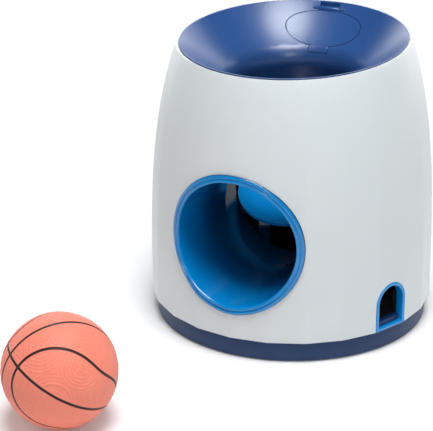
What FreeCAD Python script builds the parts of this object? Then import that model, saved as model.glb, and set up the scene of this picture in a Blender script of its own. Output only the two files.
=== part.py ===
# Dog puzzle toy: a ball dropped in the funnel tips a dish, the dish turns a metering drum, and the
# drum lets treats run down a chute to an arched port, while the ball rolls out of the tunnel.
# Millimetres. Origin on the floor under the housing's centre, +Z up, the tunnel faces -Y.
import FreeCAD, Part
import math
import os

V = FreeCAD.Vector

# Housing shell: flat panels at the bottom edge that turn into a round rim at the top
PANEL_COUNT = 24
SHELL_BOTTOM_Z = 13.2
SHELL_CORNER_R = 85.4
SHELL_WALL = 1.8
RIM_Z = 170.7
RIM_TILT = 4.1
RIM_GAP = 0.1
TAPER_POWER = 3.2
SECTION_STEPS = (0.0, 0.22, 0.42, 0.6, 0.75, 0.88, 1.0)
FIT_GAP = 0.15
RUNNING_GAP = 0.05
CLEAR_GAP = 0.4

# Base tray
TRAY_SETBACK = 2.1
TRAY_FLARE = 1.0
TRAY_UNDERSIDE_Z = 0.6
TRAY_RING_WALL = 3.0
TRAY_FLOOR_THICKNESS = 2.4
TRAY_SPIGOT_HEIGHT = 5.0

# Rubber feet
FOOT_R = 7.0
FOOT_HEIGHT = 2.6
FOOT_INSET = 14.3
FOOT_COUNT = 4
FOOT_ROUND = 0.5

# Screws and their bosses
BOSS_R = 4.5
BOSS_TOP_Z = 24.0
BOSS_INSET = 10.4
BOSS_ANGLES = (60.0, 135.0, 215.0, 285.0)
BOSS_RIB = 2.0
SCREW_SHANK_R = 1.4
SCREW_HEAD_R = 3.0
SCREW_HEAD_HEIGHT = 1.6
BASE_SCREW_LENGTH = 15.0
SMALL_SCREW_LENGTH = 4.4
SCREW_SLOT = 0.8
FIXING_FOOT = 3.0

# Funnel: bowl, neck, skirt and flange, in its own tilted frame with the rim at height 0
FUNNEL_R = 67.2
FUNNEL_LIP = 0.6
FUNNEL_WALL = 2.2
BOWL_SLOPE = 41.4
BOWL_SAG = 1.1
NECK_R = 37.5
NECK_ROUND_R = 16.0
NECK_END = 62.0
SKIRT_WALL = 1.7
SKIRT_DEPTH = 9.0
FLANGE_REACH = 1.8
FLANGE_TOP = 7.2
CATCH_COUNT = 6
CATCH_SIZE = 4.0
CATCH_HEIGHT = 2.0

# Lid over the treat hopper, an oval with a hinge strip and a finger tab, its edges tapered so that it
# lifts out of its recess; the lengths along the slope are measured from the lid's centre
LID_TURN = 3.8
LID_CENTRE_INSET = 14.3
LID_CENTRE_DEPTH = 13.2
LID_HALF_WIDTH = 22.3
LID_HALF_LENGTH = 12.3
LID_DRAFT = 24.0
LID_GAP = 0.35
TAB_HALF_WIDTH = 6.0
TAB_REACH = 16.4
LEDGE_WIDTH = 1.5
LEDGE_RIM = 2.4
LEDGE_THICKNESS = 1.2
HINGE_INSET = 3.3
HINGE_DEPTH = 4.3
KNUCKLE_R = 1.8
PIN_R = 0.8
PIN_BOSS_WIDTH = 4.0

# Tunnel and ball ramp
MOUTH_Z = 70.1
MOUTH_R = 37.0
MOUTH_LIP_R = 41.9
MOUTH_LIP_PROUD = 1.6
TUNNEL_END_TO_RAMP_END = 20.0
TUNNEL_END_Z = 69.4
TUNNEL_END_R = 35.0
TUNNEL_WALL = 1.8
ROOF_NOTCH_Z = 92.0
ROOF_NOTCH_LENGTH = 17.0
TUNNEL_FOOT_INSET = 21.0
RAMP_END_TO_DISH = 7.0
RAMP_END_R = 38.0
RAMP_RISE = 0.6
RAMP_TOP_Z = 63.0
PEDESTAL_HALF_WIDTH = 14.0
PEDESTAL_DEPTH = 10.0
PEDESTAL_SCREW_X = 9.0

# Ball
BALL_R = 31.5
BALL_WALL = 4.0
BALL_X = -48.1
BALL_Y = -193.6
SEAM_R = 0.7
SEAM_ROOT = (-0.5157, -0.6951, 0.5009)
SEAM_UP = (0.4706, 0.2587, 0.8436)

# Trigger dish and its axle
DISH_R = 36.0
DISH_DEPTH = 5.0
DISH_WALL = 2.0
DISH_RIM = 1.4
DISH_TILT = 20.0
DISH_TO_AXLE_Y = 23.0
DISH_Z = 75.5
AXLE_TO_DRUM_Y = 30.0
AXLE_Z = 66.0
AXLE_R = 2.0
HUB_R = 4.6
RIB_WALL = 3.0
RIB_X = 16.0
RIB_REACH = 12.0
WEIGHT_R = 10.0
WEIGHT_LENGTH = 10.0
WEIGHT_ARM_Y = 16.5
WEIGHT_ARM_Z = -6.0
WEIGHT_HOLDER_WALL = 1.6

# Axle brackets, bushes and clips
BEARING_WALL = 3.0
BRACKET_INNER_X = 40.0
BRACKET_HALF_DEPTH = 8.0
BRACKET_FOOT = 7.0
BRACKET_SCREW_Y = 4.4
BUSH_R = 3.6
BUSH_FLANGE_R = 5.0
BUSH_FLANGE = 0.8
CLIP_R = 4.0
CLIP_THICKNESS = 0.7
CLIP_GAP = 0.3

# Gear pair between the dish and the drum
GEAR_MODULE = 1.0
SECTOR_TEETH = 60
PINION_TEETH = 12
GEAR_WIDTH = 4.0
GEAR_X = 34.8
GEAR_BACKLASH = 0.30
GEAR_ADDENDUM = 0.75
GEAR_DEDENDUM = 1.05
SECTOR_STROKE = 20.0
SECTOR_MARGIN_TEETH = 2

# Metering drum and its housing
DRUM_INSET = 25.4
DRUM_R = 12.5
DRUM_HALF_WIDTH = 21.0
POCKET_R = 8.5
POCKET_OFFSET = 8.0
POCKET_END_WALL = 2.0
HOUSING_HALF_WIDTH = 24.5
HOUSING_WALL = 2.4
HOUSING_AHEAD_OF_DRUM = 15.4
HOUSING_BEHIND_DRUM = 12.0
HOUSING_BOTTOM_Z = 75.0
HOUSING_TOP_Z = 103.0
HOUSING_LEG = 5.0
LEG_FOOT = 8.0
LEG_SCREW_X = 15.5
HOUSING_BOSS_R = 3.0
HOUSING_BOSS_HEIGHT = 8.0
HOUSING_SCREW_BEHIND_DRUM = 5.0

# Treat hopper
HOPPER_WALL = 1.8
HOPPER_AHEAD_OF_DRUM = 14.4
HOPPER_BEHIND_DRUM = 4.0
HOPPER_HALF_WIDTH = 25.0
HOPPER_OUTLET_HALF_WIDTH = 16.0
HOPPER_OUTLET_HALF_DEPTH = 7.5
HOPPER_FLANGE = 2.0
HOPPER_WIDE_Z = 130.0
HINGE_ROOM = 14.0

# Treat chute and port
PORT_ANGLE = -22.5
PORT_HALF_WIDTH = 11.8
PORT_TOP_Z = 41.6
PORT_FRAME = 2.1
PORT_PROUD = 0.4
PORT_SILL_Z = 15.0
CHUTE_TRAY_GAP = 0.3
CHUTE_WIDTH = 21.0
CHUTE_WALL = 1.8
CHUTE_SIDE_HEIGHT = 14.0
CHUTE_LOW_Z = 18.5
CHUTE_SLOPE = 18.0
CHUTE_START_ANGLE = 108.0
CHUTE_END_ANGLE = -34.0
CHUTE_POST_ANGLES = (20.0, 72.0)
CHUTE_POST_R = 4.0

# Dark wall behind the dish
CHAMBER_WALL_BEHIND_AXLE = 9.5
CHAMBER_WALL_THICKNESS = 1.5
CHAMBER_WALL_TOP_Z = 56.0
CHAMBER_SCREW_X = 7.0
CHAMBER_FOOT = 3.5

# Pale guards on both sides of the ball's way, between the tunnel and the dish
GUARD_X = 40.0
GUARD_WALL = 2.4
GUARD_FRONT_TO_RAMP_END = 10.0
GUARD_LENGTH = 15.0
GUARD_TOP_Z = 94.0
GUARD_FOOT = 7.0

# Worked out from the sizes above
RIM_R = FUNNEL_R + RIM_GAP + SHELL_WALL
FLANGE_R = FUNNEL_R + FLANGE_REACH
LID_CENTRE_R = FUNNEL_R - LID_CENTRE_INSET
HINGE_RADIUS = FUNNEL_R - HINGE_INSET
DRUM_Y = SHELL_CORNER_R - DRUM_INSET
HOUSING_FRONT_Y = DRUM_Y - HOUSING_AHEAD_OF_DRUM
HOUSING_BACK_Y = DRUM_Y + HOUSING_BEHIND_DRUM
HOUSING_SCREW_Y = DRUM_Y + HOUSING_SCREW_BEHIND_DRUM
HOPPER_FRONT_Y = DRUM_Y - HOPPER_AHEAD_OF_DRUM
HOPPER_BACK_Y = DRUM_Y + HOPPER_BEHIND_DRUM
AXLE_Y = DRUM_Y - AXLE_TO_DRUM_Y
CHAMBER_WALL_Y = AXLE_Y + CHAMBER_WALL_BEHIND_AXLE
DISH_Y = AXLE_Y - DISH_TO_AXLE_Y
RAMP_END_Y = DISH_Y - RAMP_END_TO_DISH
TUNNEL_END_Y = RAMP_END_Y - TUNNEL_END_TO_RAMP_END
ROOF_NOTCH_Y = TUNNEL_END_Y - ROOF_NOTCH_LENGTH
GUARD_FRONT_Y = RAMP_END_Y - GUARD_FRONT_TO_RAMP_END
TRAY_TOP_R = SHELL_CORNER_R - TRAY_SETBACK
TRAY_FOOT_R = TRAY_TOP_R - TRAY_FLARE
FOOT_CIRCLE_R = TRAY_FOOT_R - FOOT_INSET
BOSS_CIRCLE_R = SHELL_CORNER_R - BOSS_INSET
CHUTE_OUTER_R = TRAY_FOOT_R - TRAY_RING_WALL - CHUTE_TRAY_GAP
CHUTE_INNER_R = CHUTE_OUTER_R - CHUTE_WIDTH
LEDGE_DEPTH = FUNNEL_WALL + LID_GAP + LEDGE_THICKNESS
PIN_HALF_LENGTH = TAB_HALF_WIDTH + LID_GAP + PIN_BOSS_WIDTH - 1.2
TUNNEL_FOOT_Y = TUNNEL_END_Y - TUNNEL_FOOT_INSET
RAMP_START_Y = TUNNEL_END_Y + CLEAR_GAP
RAMP_FOOT_Y = (RAMP_START_Y + RAMP_END_Y) / 2
CHUTE_MIDDLE_R = (CHUTE_INNER_R + CHUTE_OUTER_R) / 2
RIM_INNER_R = RIM_R - SHELL_WALL
PANEL_HALF = math.pi / PANEL_COUNT
TRAY_FLOOR_Z = FOOT_HEIGHT + TRAY_FLOOR_THICKNESS
GEAR_DISTANCE = GEAR_MODULE * (SECTOR_TEETH + PINION_TEETH) / 2
DRUM_Z = AXLE_Z + math.sqrt(GEAR_DISTANCE ** 2 - (DRUM_Y - AXLE_Y) ** 2)
MESH_ANGLE = math.degrees(math.atan2(DRUM_Z - AXLE_Z, DRUM_Y - AXLE_Y))
FAR = 400.0


def box(x0, x1, y0, y1, z0, z1):
    """A box between two corners."""
    return Part.makeBox(x1 - x0, y1 - y0, z1 - z0, V(x0, y0, z0))


def rod(radius, start, end):
    """A cylinder from one point to another."""
    way = end.sub(start)
    return Part.makeCylinder(radius, way.Length, start, way)


def tube(outer, inner, start, end):
    """A round tube from one point to another."""
    return rod(outer, start, end).cut(rod(inner, start, end))


def polar(radius, degrees, z=0.0):
    """A point at a radius and an angle from +X."""
    a = math.radians(degrees)
    return V(radius * math.cos(a), radius * math.sin(a), z)


def turned(shape, centre, axis, degrees):
    """A copy of a shape, turned about an axis."""
    result = shape.copy()
    result.rotate(centre, axis, degrees)
    return result


def save(name, *solids):
    """Writes one sub-part, several solids as one group."""
    shape = solids[0] if len(solids) == 1 else Part.makeCompound(list(solids))
    if len(solids) == 1 and len(shape.Solids) == 1:
        shape = shape.Solids[0]
    print(name, "solids", len(shape.Solids), "volume", round(shape.Volume), "valid", shape.isValid())
    shape.exportStep("parts/" + name + ".step")


def in_funnel_frame(shape):
    """Moves a shape from the funnel's own upright frame to its tilted place under the rim."""
    result = turned(shape, V(0, 0, 0), V(1, 0, 0), RIM_TILT)
    result.translate(V(0, 0, RIM_Z))
    return result


def body_radius(t, offset):
    """The shell's corner radius at the share t of its height."""
    return SHELL_CORNER_R - (SHELL_CORNER_R - RIM_R) * max(t, 0.0) ** TAPER_POWER + offset


def body_section(t, offset):
    """One ring of panels: straight at the bottom, arcs at the top, tilted with the rim."""
    radius = body_radius(t, offset)
    height = SHELL_BOTTOM_Z + t * (RIM_Z - SHELL_BOTTOM_Z)
    slope = math.tan(math.radians(RIM_TILT)) * max(t, 0.0) ** 2
    bulge = min(max(t, 0.0), 1.0)
    middle_r = radius * (math.cos(PANEL_HALF) + (1 - math.cos(PANEL_HALF)) * bulge)

    def at(r, angle):
        y = r * math.sin(angle)
        return V(r * math.cos(angle), y, height + y * slope)

    edges = []
    for k in range(PANEL_COUNT):
        a = -math.pi / 2 + 2 * PANEL_HALF * k
        start = at(radius, a)
        end = at(radius, a + 2 * PANEL_HALF)
        if bulge == 0.0:
            edges.append(Part.LineSegment(start, end).toShape())
        else:
            edges.append(Part.Arc(start, at(middle_r, a + PANEL_HALF), end).toShape())
    return Part.Wire(edges)


def body_solid(offset, below=0.0, above=0.0):
    """The housing's outer form, grown or shrunk by an offset and made longer at either end."""
    steps = list(SECTION_STEPS)
    if below:
        steps.insert(0, -below)
    if above:
        steps.append(1.0 + above)
    return Part.makeLoft([body_section(t, offset) for t in steps], True, False)


def port_prism(half_width, bottom_z, top_z, near, far):
    """An upright arch, pushed outwards through the wall at the port's angle."""
    centre_z = top_z - half_width
    points = [V(0, -half_width, bottom_z), V(0, half_width, bottom_z), V(0, half_width, centre_z)]
    edges = [Part.makeLine(points[0], points[1]), Part.makeLine(points[1], points[2])]
    left = V(0, -half_width, centre_z)
    edges.append(Part.Arc(points[2], V(0, 0, top_z), left).toShape())
    edges.append(Part.makeLine(left, points[0]))
    prism = Part.Face(Part.Wire(edges)).extrude(V(far - near, 0, 0))
    prism.translate(V(near, 0, 0))
    return turned(prism, V(0, 0, 0), V(0, 0, 1), PORT_ANGLE)


def tunnel_cone(extra):
    """The tunnel's tapered form, grown by an extra radius, long enough to pass both ends."""
    mouth_y = -SHELL_CORNER_R - 10
    grow = (MOUTH_R - TUNNEL_END_R) / (TUNNEL_END_Y + SHELL_CORNER_R)
    drop = (MOUTH_Z - TUNNEL_END_Z) / (TUNNEL_END_Y + SHELL_CORNER_R)
    length = TUNNEL_END_Y - mouth_y
    start = Part.Wire(Part.makeCircle(TUNNEL_END_R + grow * length + extra,
                                      V(0, mouth_y, TUNNEL_END_Z + drop * length), V(0, 1, 0)))
    end = Part.Wire(Part.makeCircle(TUNNEL_END_R + extra, V(0, TUNNEL_END_Y, TUNNEL_END_Z), V(0, 1, 0)))
    return Part.makeLoft([start, end], True, True)


def screw(head_under, length, radius=SCREW_SHANK_R):
    """A pan-head screw pointing up, with a cross cut in its head."""
    shank = rod(radius, head_under, head_under + V(0, 0, length))
    head = rod(SCREW_HEAD_R, head_under - V(0, 0, SCREW_HEAD_HEIGHT), head_under)
    result = shank.fuse(head)
    x, y, z = head_under
    z -= SCREW_HEAD_HEIGHT
    half = SCREW_SLOT / 2
    arm = SCREW_HEAD_R * 0.6
    depth = SCREW_HEAD_HEIGHT / 2
    result = result.cut(box(x - arm, x + arm, y - half, y + half, z, z + depth))
    return result.cut(box(x - half, x + half, y - arm, y + arm, z, z + depth))


def boss_rib(angle, inside):
    """A rib that ties a screw boss to the housing's wall."""
    rib = box(BOSS_CIRCLE_R, SHELL_CORNER_R, -BOSS_RIB / 2, BOSS_RIB / 2,
              SHELL_BOTTOM_Z + TRAY_SPIGOT_HEIGHT + CLEAR_GAP, BOSS_TOP_Z)
    return turned(rib, V(0, 0, 0), V(0, 0, 1), angle).common(inside)


def make_shell():
    shell = body_solid(0.0).cut(body_solid(-SHELL_WALL, 0.04, 0.04))
    mouth_r = MOUTH_R + TUNNEL_WALL + 2 * FIT_GAP
    shell = shell.cut(rod(mouth_r, V(0, -FAR / 4, MOUTH_Z), V(0, -SHELL_CORNER_R / 2, MOUTH_Z)))
    window = port_prism(PORT_HALF_WIDTH + FIT_GAP, 0.0, PORT_TOP_Z + FIT_GAP, CHUTE_OUTER_R, FAR / 4)
    shell = shell.cut(window)
    inside = body_solid(-SHELL_WALL / 2, 0.04, 0.04)
    for angle in BOSS_ANGLES:
        foot = polar(BOSS_CIRCLE_R, angle, TRAY_FLOOR_Z)
        top = polar(BOSS_CIRCLE_R, angle, BOSS_TOP_Z)
        pilot_end = polar(BOSS_CIRCLE_R, angle, FOOT_HEIGHT + BASE_SCREW_LENGTH + 1)
        shell = shell.fuse(rod(BOSS_R, foot, top).fuse(boss_rib(angle, inside)))
        shell = shell.cut(rod(SCREW_SHANK_R + RUNNING_GAP, foot, pilot_end))
    upper = body_solid(-SHELL_WALL / 2)
    for k in range(CATCH_COUNT):
        catch = box(FUNNEL_R + CLEAR_GAP, FLANGE_R + 6, -CATCH_SIZE / 2, CATCH_SIZE / 2,
                    -SKIRT_DEPTH - FIT_GAP - CATCH_HEIGHT, -SKIRT_DEPTH - FIT_GAP)
        catch = turned(catch, V(0, 0, 0), V(0, 0, 1), 360.0 * k / CATCH_COUNT)
        shell = shell.fuse(in_funnel_frame(catch).common(upper))
    return shell


def base_screw_spots():
    """The places of the screws that come up through the tray, in order of what they hold."""
    spots = [polar(BOSS_CIRCLE_R, angle) for angle in BOSS_ANGLES]
    for y in (TUNNEL_FOOT_Y, RAMP_FOOT_Y):
        spots.append(V(-PEDESTAL_SCREW_X, y, 0))
        spots.append(V(PEDESTAL_SCREW_X, y, 0))
    return spots + [polar(CHUTE_MIDDLE_R, angle) for angle in CHUTE_POST_ANGLES]


def floor_screw_spots():
    """The places of the screws that go down through feet into the tray's floor."""
    spots = []
    for side in (-1, 1):
        for way in (-1, 1):
            spots.append(V(side * (BRACKET_INNER_X - BRACKET_FOOT / 2), AXLE_Y + way * BRACKET_SCREW_Y, 0))
        spots.append(V(side * (GUARD_X - GUARD_FOOT / 2), GUARD_FRONT_Y + GUARD_LENGTH / 2, 0))
        behind = CHAMBER_WALL_Y + CHAMBER_WALL_THICKNESS + BRACKET_FOOT / 2
        spots.append(V(side * CHAMBER_SCREW_X, behind, 0))
        spots.append(V(side * LEG_SCREW_X, HOUSING_FRONT_Y + HOUSING_LEG / 2, 0))
    return spots


def make_base_tray():
    height = SHELL_BOTTOM_Z - TRAY_UNDERSIDE_Z
    ring = Part.makeCone(TRAY_FOOT_R, TRAY_TOP_R, height, V(0, 0, TRAY_UNDERSIDE_Z))
    inner_r = TRAY_FOOT_R - TRAY_RING_WALL
    ring = ring.cut(rod(inner_r, V(0, 0, 0), V(0, 0, FAR / 4)))
    floor = rod(inner_r + 1, V(0, 0, FOOT_HEIGHT), V(0, 0, TRAY_FLOOR_Z))
    spigot_r = SHELL_CORNER_R * math.cos(PANEL_HALF) - SHELL_WALL - FIT_GAP - 0.1
    spigot = tube(spigot_r, inner_r, V(0, 0, TRAY_FLOOR_Z), V(0, 0, SHELL_BOTTOM_Z + TRAY_SPIGOT_HEIGHT))
    tray = ring.fuse(floor).fuse(spigot)
    half_width = PORT_HALF_WIDTH + CLEAR_GAP
    tray = tray.cut(port_prism(half_width, SHELL_BOTTOM_Z, FAR / 4, CHUTE_OUTER_R - 3, FAR / 4))
    for angle in BOSS_ANGLES:
        foot = polar(BOSS_CIRCLE_R, angle, TRAY_FLOOR_Z)
        tray = tray.cut(rod(BOSS_R + CLEAR_GAP, foot, foot + V(0, 0, FAR / 4)))
    for spot in base_screw_spots():
        tray = tray.cut(rod(SCREW_SHANK_R + FIT_GAP, spot, spot + V(0, 0, TRAY_FLOOR_Z + 1)))
    for spot in floor_screw_spots():
        top = spot + V(0, 0, TRAY_FLOOR_Z + 1)
        tray = tray.cut(rod(SCREW_SHANK_R + RUNNING_GAP, spot + V(0, 0, FOOT_HEIGHT + 0.5), top))
    return tray


def make_rubber_feet():
    spots = [V(0, 0, 0)] + [polar(FOOT_CIRCLE_R, 360.0 * k / FOOT_COUNT) for k in range(FOOT_COUNT)]
    feet = []
    for spot in spots:
        foot = rod(FOOT_R, spot, spot + V(0, 0, FOOT_HEIGHT))
        lower = [edge for edge in foot.Edges if edge.CenterOfMass.z < 0.01]
        feet.append(foot.makeFillet(FOOT_ROUND, lower))
    return feet


def make_base_screws():
    return [screw(spot + V(0, 0, FOOT_HEIGHT), BASE_SCREW_LENGTH) for spot in base_screw_spots()]


def make_floor_screws():
    screws = []
    for spot in floor_screw_spots():
        fixing = turned(screw(V(0, 0, 0), SMALL_SCREW_LENGTH), V(0, 0, 0), V(1, 0, 0), 180)
        fixing.translate(spot + V(0, 0, TRAY_FLOOR_Z + FIXING_FOOT))
        screws.append(fixing)
    return screws


def bowl_points(depth):
    """The bowl's line in the funnel's section at a depth under its surface, from rim to neck end."""
    slope = math.radians(BOWL_SLOPE)
    out_r = math.sin(slope)
    out_z = -math.cos(slope)
    rim_r = FUNNEL_R - FUNNEL_LIP
    corner_z = -(rim_r - NECK_R) * math.tan(slope)
    tangent = NECK_ROUND_R * math.tan((math.pi / 2 - slope) / 2)
    knee_r = NECK_R + tangent * math.cos(slope)
    knee_z = corner_z + tangent * math.sin(slope)
    neck_top_z = corner_z - tangent
    half = math.radians(135 + BOWL_SLOPE / 2)
    round_r = NECK_ROUND_R - depth
    sag = BOWL_SAG + depth
    return [V(rim_r + depth * out_r, 0, depth * out_z),
            V((rim_r + knee_r) / 2 + sag * out_r, 0, knee_z / 2 + sag * out_z),
            V(knee_r + depth * out_r, 0, knee_z + depth * out_z),
            V(NECK_R + NECK_ROUND_R + round_r * math.cos(half), 0, neck_top_z + round_r * math.sin(half)),
            V(NECK_R + depth, 0, neck_top_z),
            V(NECK_R + depth, 0, -NECK_END)]


def bowl_edges(depth):
    """The bowl's line as edges, from the rim down to the end of the neck."""
    rim, middle, knee, turn, neck_top, neck_end = bowl_points(depth)
    edges = [Part.Arc(rim, middle, knee).toShape(), Part.Arc(knee, turn, neck_top).toShape()]
    return edges + [Part.makeLine(neck_top, neck_end)]


def spun(edges):
    """The solid that a closed line in the XZ plane makes when turned about the Z axis."""
    face = Part.Face(Part.Wire(Part.sortEdges(edges)[0]))
    return face.revolve(V(0, 0, 0), V(0, 0, 1), 360)


def path(*points):
    """Straight edges through points in the XZ plane."""
    at = [V(r, 0, z) for r, z in points]
    return [Part.makeLine(at[i], at[i + 1]) for i in range(len(at) - 1)]


def bowl_wall(near, far):
    """The solid between two depths under the bowl's surface, in the funnel's frame."""
    inner = bowl_points(near)
    outer = bowl_points(far)
    edges = bowl_edges(near) + bowl_edges(far)
    return spun(edges + [Part.makeLine(inner[0], outer[0]), Part.makeLine(inner[-1], outer[-1])])


def bowl_plug(depth):
    """Everything inside the bowl's line at a depth, up to above the rim, in the funnel's frame."""
    line = bowl_points(depth)
    rim = line[0]
    end = line[-1]
    return spun(bowl_edges(depth) + path((end.x, end.z), (0, end.z), (0, 20), (rim.x, 20), (rim.x, rim.z)))


def side_block(half_width, points):
    """A block along X whose outline is given as lengths up the lid's slope and heights above it."""
    at = [V(-half_width, v, n) for v, n in points]
    return Part.Face(Part.makePolygon(at + at[:1])).extrude(V(2 * half_width, 0, 0))


def lid_form(grow, tab, strip):
    """A tapered block across the bowl's wall with the lid's outline, in the funnel's frame."""
    taper = math.tan(math.radians(LID_DRAFT))
    low = -8.0
    high = 9.0
    ovals = []
    for n in (low, high):
        size = grow + n * taper
        oval = Part.Ellipse(V(0, 0, n), LID_HALF_WIDTH + size, LID_HALF_LENGTH + size)
        ovals.append(Part.Wire(oval.toShape()))
    form = Part.makeLoft(ovals, True, True)
    if tab:
        reach = -TAB_REACH - grow
        outline = ((0, low), (0, high), (reach - high * taper, high), (reach - low * taper, low))
        form = form.fuse(side_block(TAB_HALF_WIDTH + grow, outline))
    if strip:
        reach = (HINGE_RADIUS - LID_CENTRE_R) / math.cos(math.radians(BOWL_SLOPE))
        outline = ((0, low), (0, high), (reach, high), (reach, low))
        form = form.fuse(side_block(TAB_HALF_WIDTH + grow, outline))
    form = turned(form, V(0, 0, 0), V(1, 0, 0), BOWL_SLOPE)
    form.translate(V(0, LID_CENTRE_R, -LID_CENTRE_DEPTH))
    return turned(form, V(0, 0, 0), V(0, 0, 1), LID_TURN)


def hinge_rod(radius, half_length):
    """A rod on the lid's hinge line, in the funnel's frame."""
    middle = V(0, HINGE_RADIUS, -HINGE_DEPTH)
    along = V(half_length, 0, 0)
    line = rod(radius, middle - along, middle + along)
    return turned(line, V(0, 0, 0), V(0, 0, 1), LID_TURN)


def hinge_slot():
    """The room that the hinge strip and its knuckle take in the rim, in the funnel's frame."""
    half = TAB_HALF_WIDTH + LID_GAP
    reach = KNUCKLE_R + LID_GAP
    slot = box(-half, half, HINGE_RADIUS - KNUCKLE_R - 2, HINGE_RADIUS + reach, -SKIRT_DEPTH - 1, 5)
    return turned(slot, V(0, 0, 0), V(0, 0, 1), LID_TURN)


def make_funnel():
    within = rod(FUNNEL_R, V(0, 0, -FAR / 4), V(0, 0, 5))
    skirt = tube(FUNNEL_R, FUNNEL_R - SKIRT_WALL, V(0, 0, -SKIRT_DEPTH), V(0, 0, 0)).cut(bowl_plug(0.0))
    flange = tube(FLANGE_R, FUNNEL_R - SKIRT_WALL, V(0, 0, -SKIRT_DEPTH), V(0, 0, -FLANGE_TOP))
    funnel = bowl_wall(0.0, FUNNEL_WALL).common(within).fuse(skirt).fuse(flange)
    band = bowl_wall(FUNNEL_WALL - 0.2, LEDGE_DEPTH)
    opening = lid_form(-LEDGE_WIDTH, False, False)
    collar = band.common(lid_form(LEDGE_RIM, True, False)).cut(opening)
    recess = bowl_wall(-3.0, FUNNEL_WALL + LID_GAP).common(lid_form(LID_GAP, True, False))
    funnel = funnel.fuse(collar.common(within)).cut(recess).cut(opening)
    bosses = hinge_rod(KNUCKLE_R, TAB_HALF_WIDTH + LID_GAP + PIN_BOSS_WIDTH)
    funnel = funnel.fuse(bosses.common(within)).cut(hinge_slot())
    return in_funnel_frame(funnel.cut(hinge_rod(PIN_R + RUNNING_GAP, PIN_HALF_LENGTH + LID_GAP)))


def make_lid():
    plate = bowl_wall(0.0, FUNNEL_WALL).common(lid_form(0.0, True, True))
    lid = plate.fuse(hinge_rod(KNUCKLE_R, TAB_HALF_WIDTH))
    return in_funnel_frame(lid.cut(hinge_rod(PIN_R + RUNNING_GAP, TAB_HALF_WIDTH + 1)))


def make_lid_hinge_pin():
    return in_funnel_frame(hinge_rod(PIN_R, PIN_HALF_LENGTH))


def pedestal(y, top_z):
    """A block on the tray's floor with two screw holes, its top still uncut."""
    block = box(-PEDESTAL_HALF_WIDTH, PEDESTAL_HALF_WIDTH, y - PEDESTAL_DEPTH / 2, y + PEDESTAL_DEPTH / 2,
                TRAY_FLOOR_Z, top_z)
    up = V(0, 0, FOOT_HEIGHT + BASE_SCREW_LENGTH + 1)
    for side in (-1, 1):
        foot = V(side * PEDESTAL_SCREW_X, y, 0)
        block = block.cut(rod(SCREW_SHANK_R + RUNNING_GAP, foot, foot + up))
    return block


def make_tunnel():
    inner = tunnel_cone(0.0)
    proud = body_solid(MOUTH_LIP_PROUD)
    pipe = tunnel_cone(TUNNEL_WALL).common(proud)
    lip = rod(MOUTH_LIP_R, V(0, -FAR / 4, MOUTH_Z), V(0, -SHELL_CORNER_R / 2, MOUTH_Z))
    lip = lip.common(proud).cut(body_solid(FIT_GAP))
    tunnel = pipe.fuse(pedestal(TUNNEL_FOOT_Y, MOUTH_Z - MOUTH_R)).fuse(lip).cut(inner)
    return tunnel.cut(box(-FAR, FAR, ROOF_NOTCH_Y, FAR, ROOF_NOTCH_Z, FAR))


def ramp_form(extra):
    """The ramp's widening round form, grown by an extra radius."""
    end_centre = V(0, RAMP_END_Y, TUNNEL_END_Z - TUNNEL_END_R + RAMP_RISE + RAMP_END_R)
    start = Part.Wire(Part.makeCircle(TUNNEL_END_R + extra, V(0, RAMP_START_Y, TUNNEL_END_Z), V(0, 1, 0)))
    end = Part.Wire(Part.makeCircle(RAMP_END_R + extra, end_centre, V(0, 1, 0)))
    return Part.makeLoft([start, end], True, True)


def make_ball_ramp():
    block = pedestal(RAMP_FOOT_Y, TUNNEL_END_Z - TUNNEL_END_R)
    ramp = ramp_form(TUNNEL_WALL).fuse(block).cut(ramp_form(0.0))
    return ramp.cut(box(-FAR, FAR, -FAR, FAR, RAMP_TOP_Z, FAR))


def make_ball_guards():
    """Two pale upright plates beside the ball's way, their feet screwed to the tray."""
    back = GUARD_FRONT_Y + GUARD_LENGTH
    guards = []
    for side in (-1, 1):
        low, high = sorted((side * GUARD_X, side * (GUARD_X + GUARD_WALL)))
        foot_low, foot_high = sorted((side * (GUARD_X + GUARD_WALL), side * (GUARD_X - GUARD_FOOT)))
        plate = box(low, high, GUARD_FRONT_Y, back, TRAY_FLOOR_Z, GUARD_TOP_Z)
        top = [edge for edge in plate.Edges if edge.CenterOfMass.z > GUARD_TOP_Z - 0.01]
        corners = [edge for edge in top if edge.Length < GUARD_WALL + 0.1]
        plate = plate.makeFillet(GUARD_LENGTH / 3, corners)
        foot = box(foot_low, foot_high, GUARD_FRONT_Y, back, TRAY_FLOOR_Z, TRAY_FLOOR_Z + FIXING_FOOT)
        guards.append(with_floor_holes(plate.fuse(foot)))
    return guards


def make_ball():
    centre = V(0, 0, 0)
    root = V(*SEAM_ROOT).normalize()
    side = V(*SEAM_UP).cross(root).normalize()
    up = root.cross(side)
    ball = Part.makeSphere(BALL_R)
    for axis in (up, side):
        ball = ball.cut(Part.makeTorus(BALL_R, SEAM_R, centre, axis))
    ball = ball.cut(Part.makeSphere(BALL_R - BALL_WALL))
    ball.translate(V(BALL_X, BALL_Y, BALL_R))
    return ball


def dish_frame(shape):
    """Moves a shape from the dish's own upright frame to its place, tilted down to the front."""
    result = turned(shape, V(0, 0, 0), V(1, 0, 0), DISH_TILT)
    result.translate(V(0, DISH_Y, DISH_Z))
    return result


def dish_line(depth):
    """The dish's line at a depth under its hollow, from the centre to the rim."""
    reach = DISH_R - DISH_RIM + (DISH_RIM if depth else 0.0)
    points = [V(0, 0, -DISH_DEPTH - depth), V(reach / 2, 0, -0.75 * DISH_DEPTH - depth), V(reach, 0, -depth)]
    return Part.Arc(*points).toShape()


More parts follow.
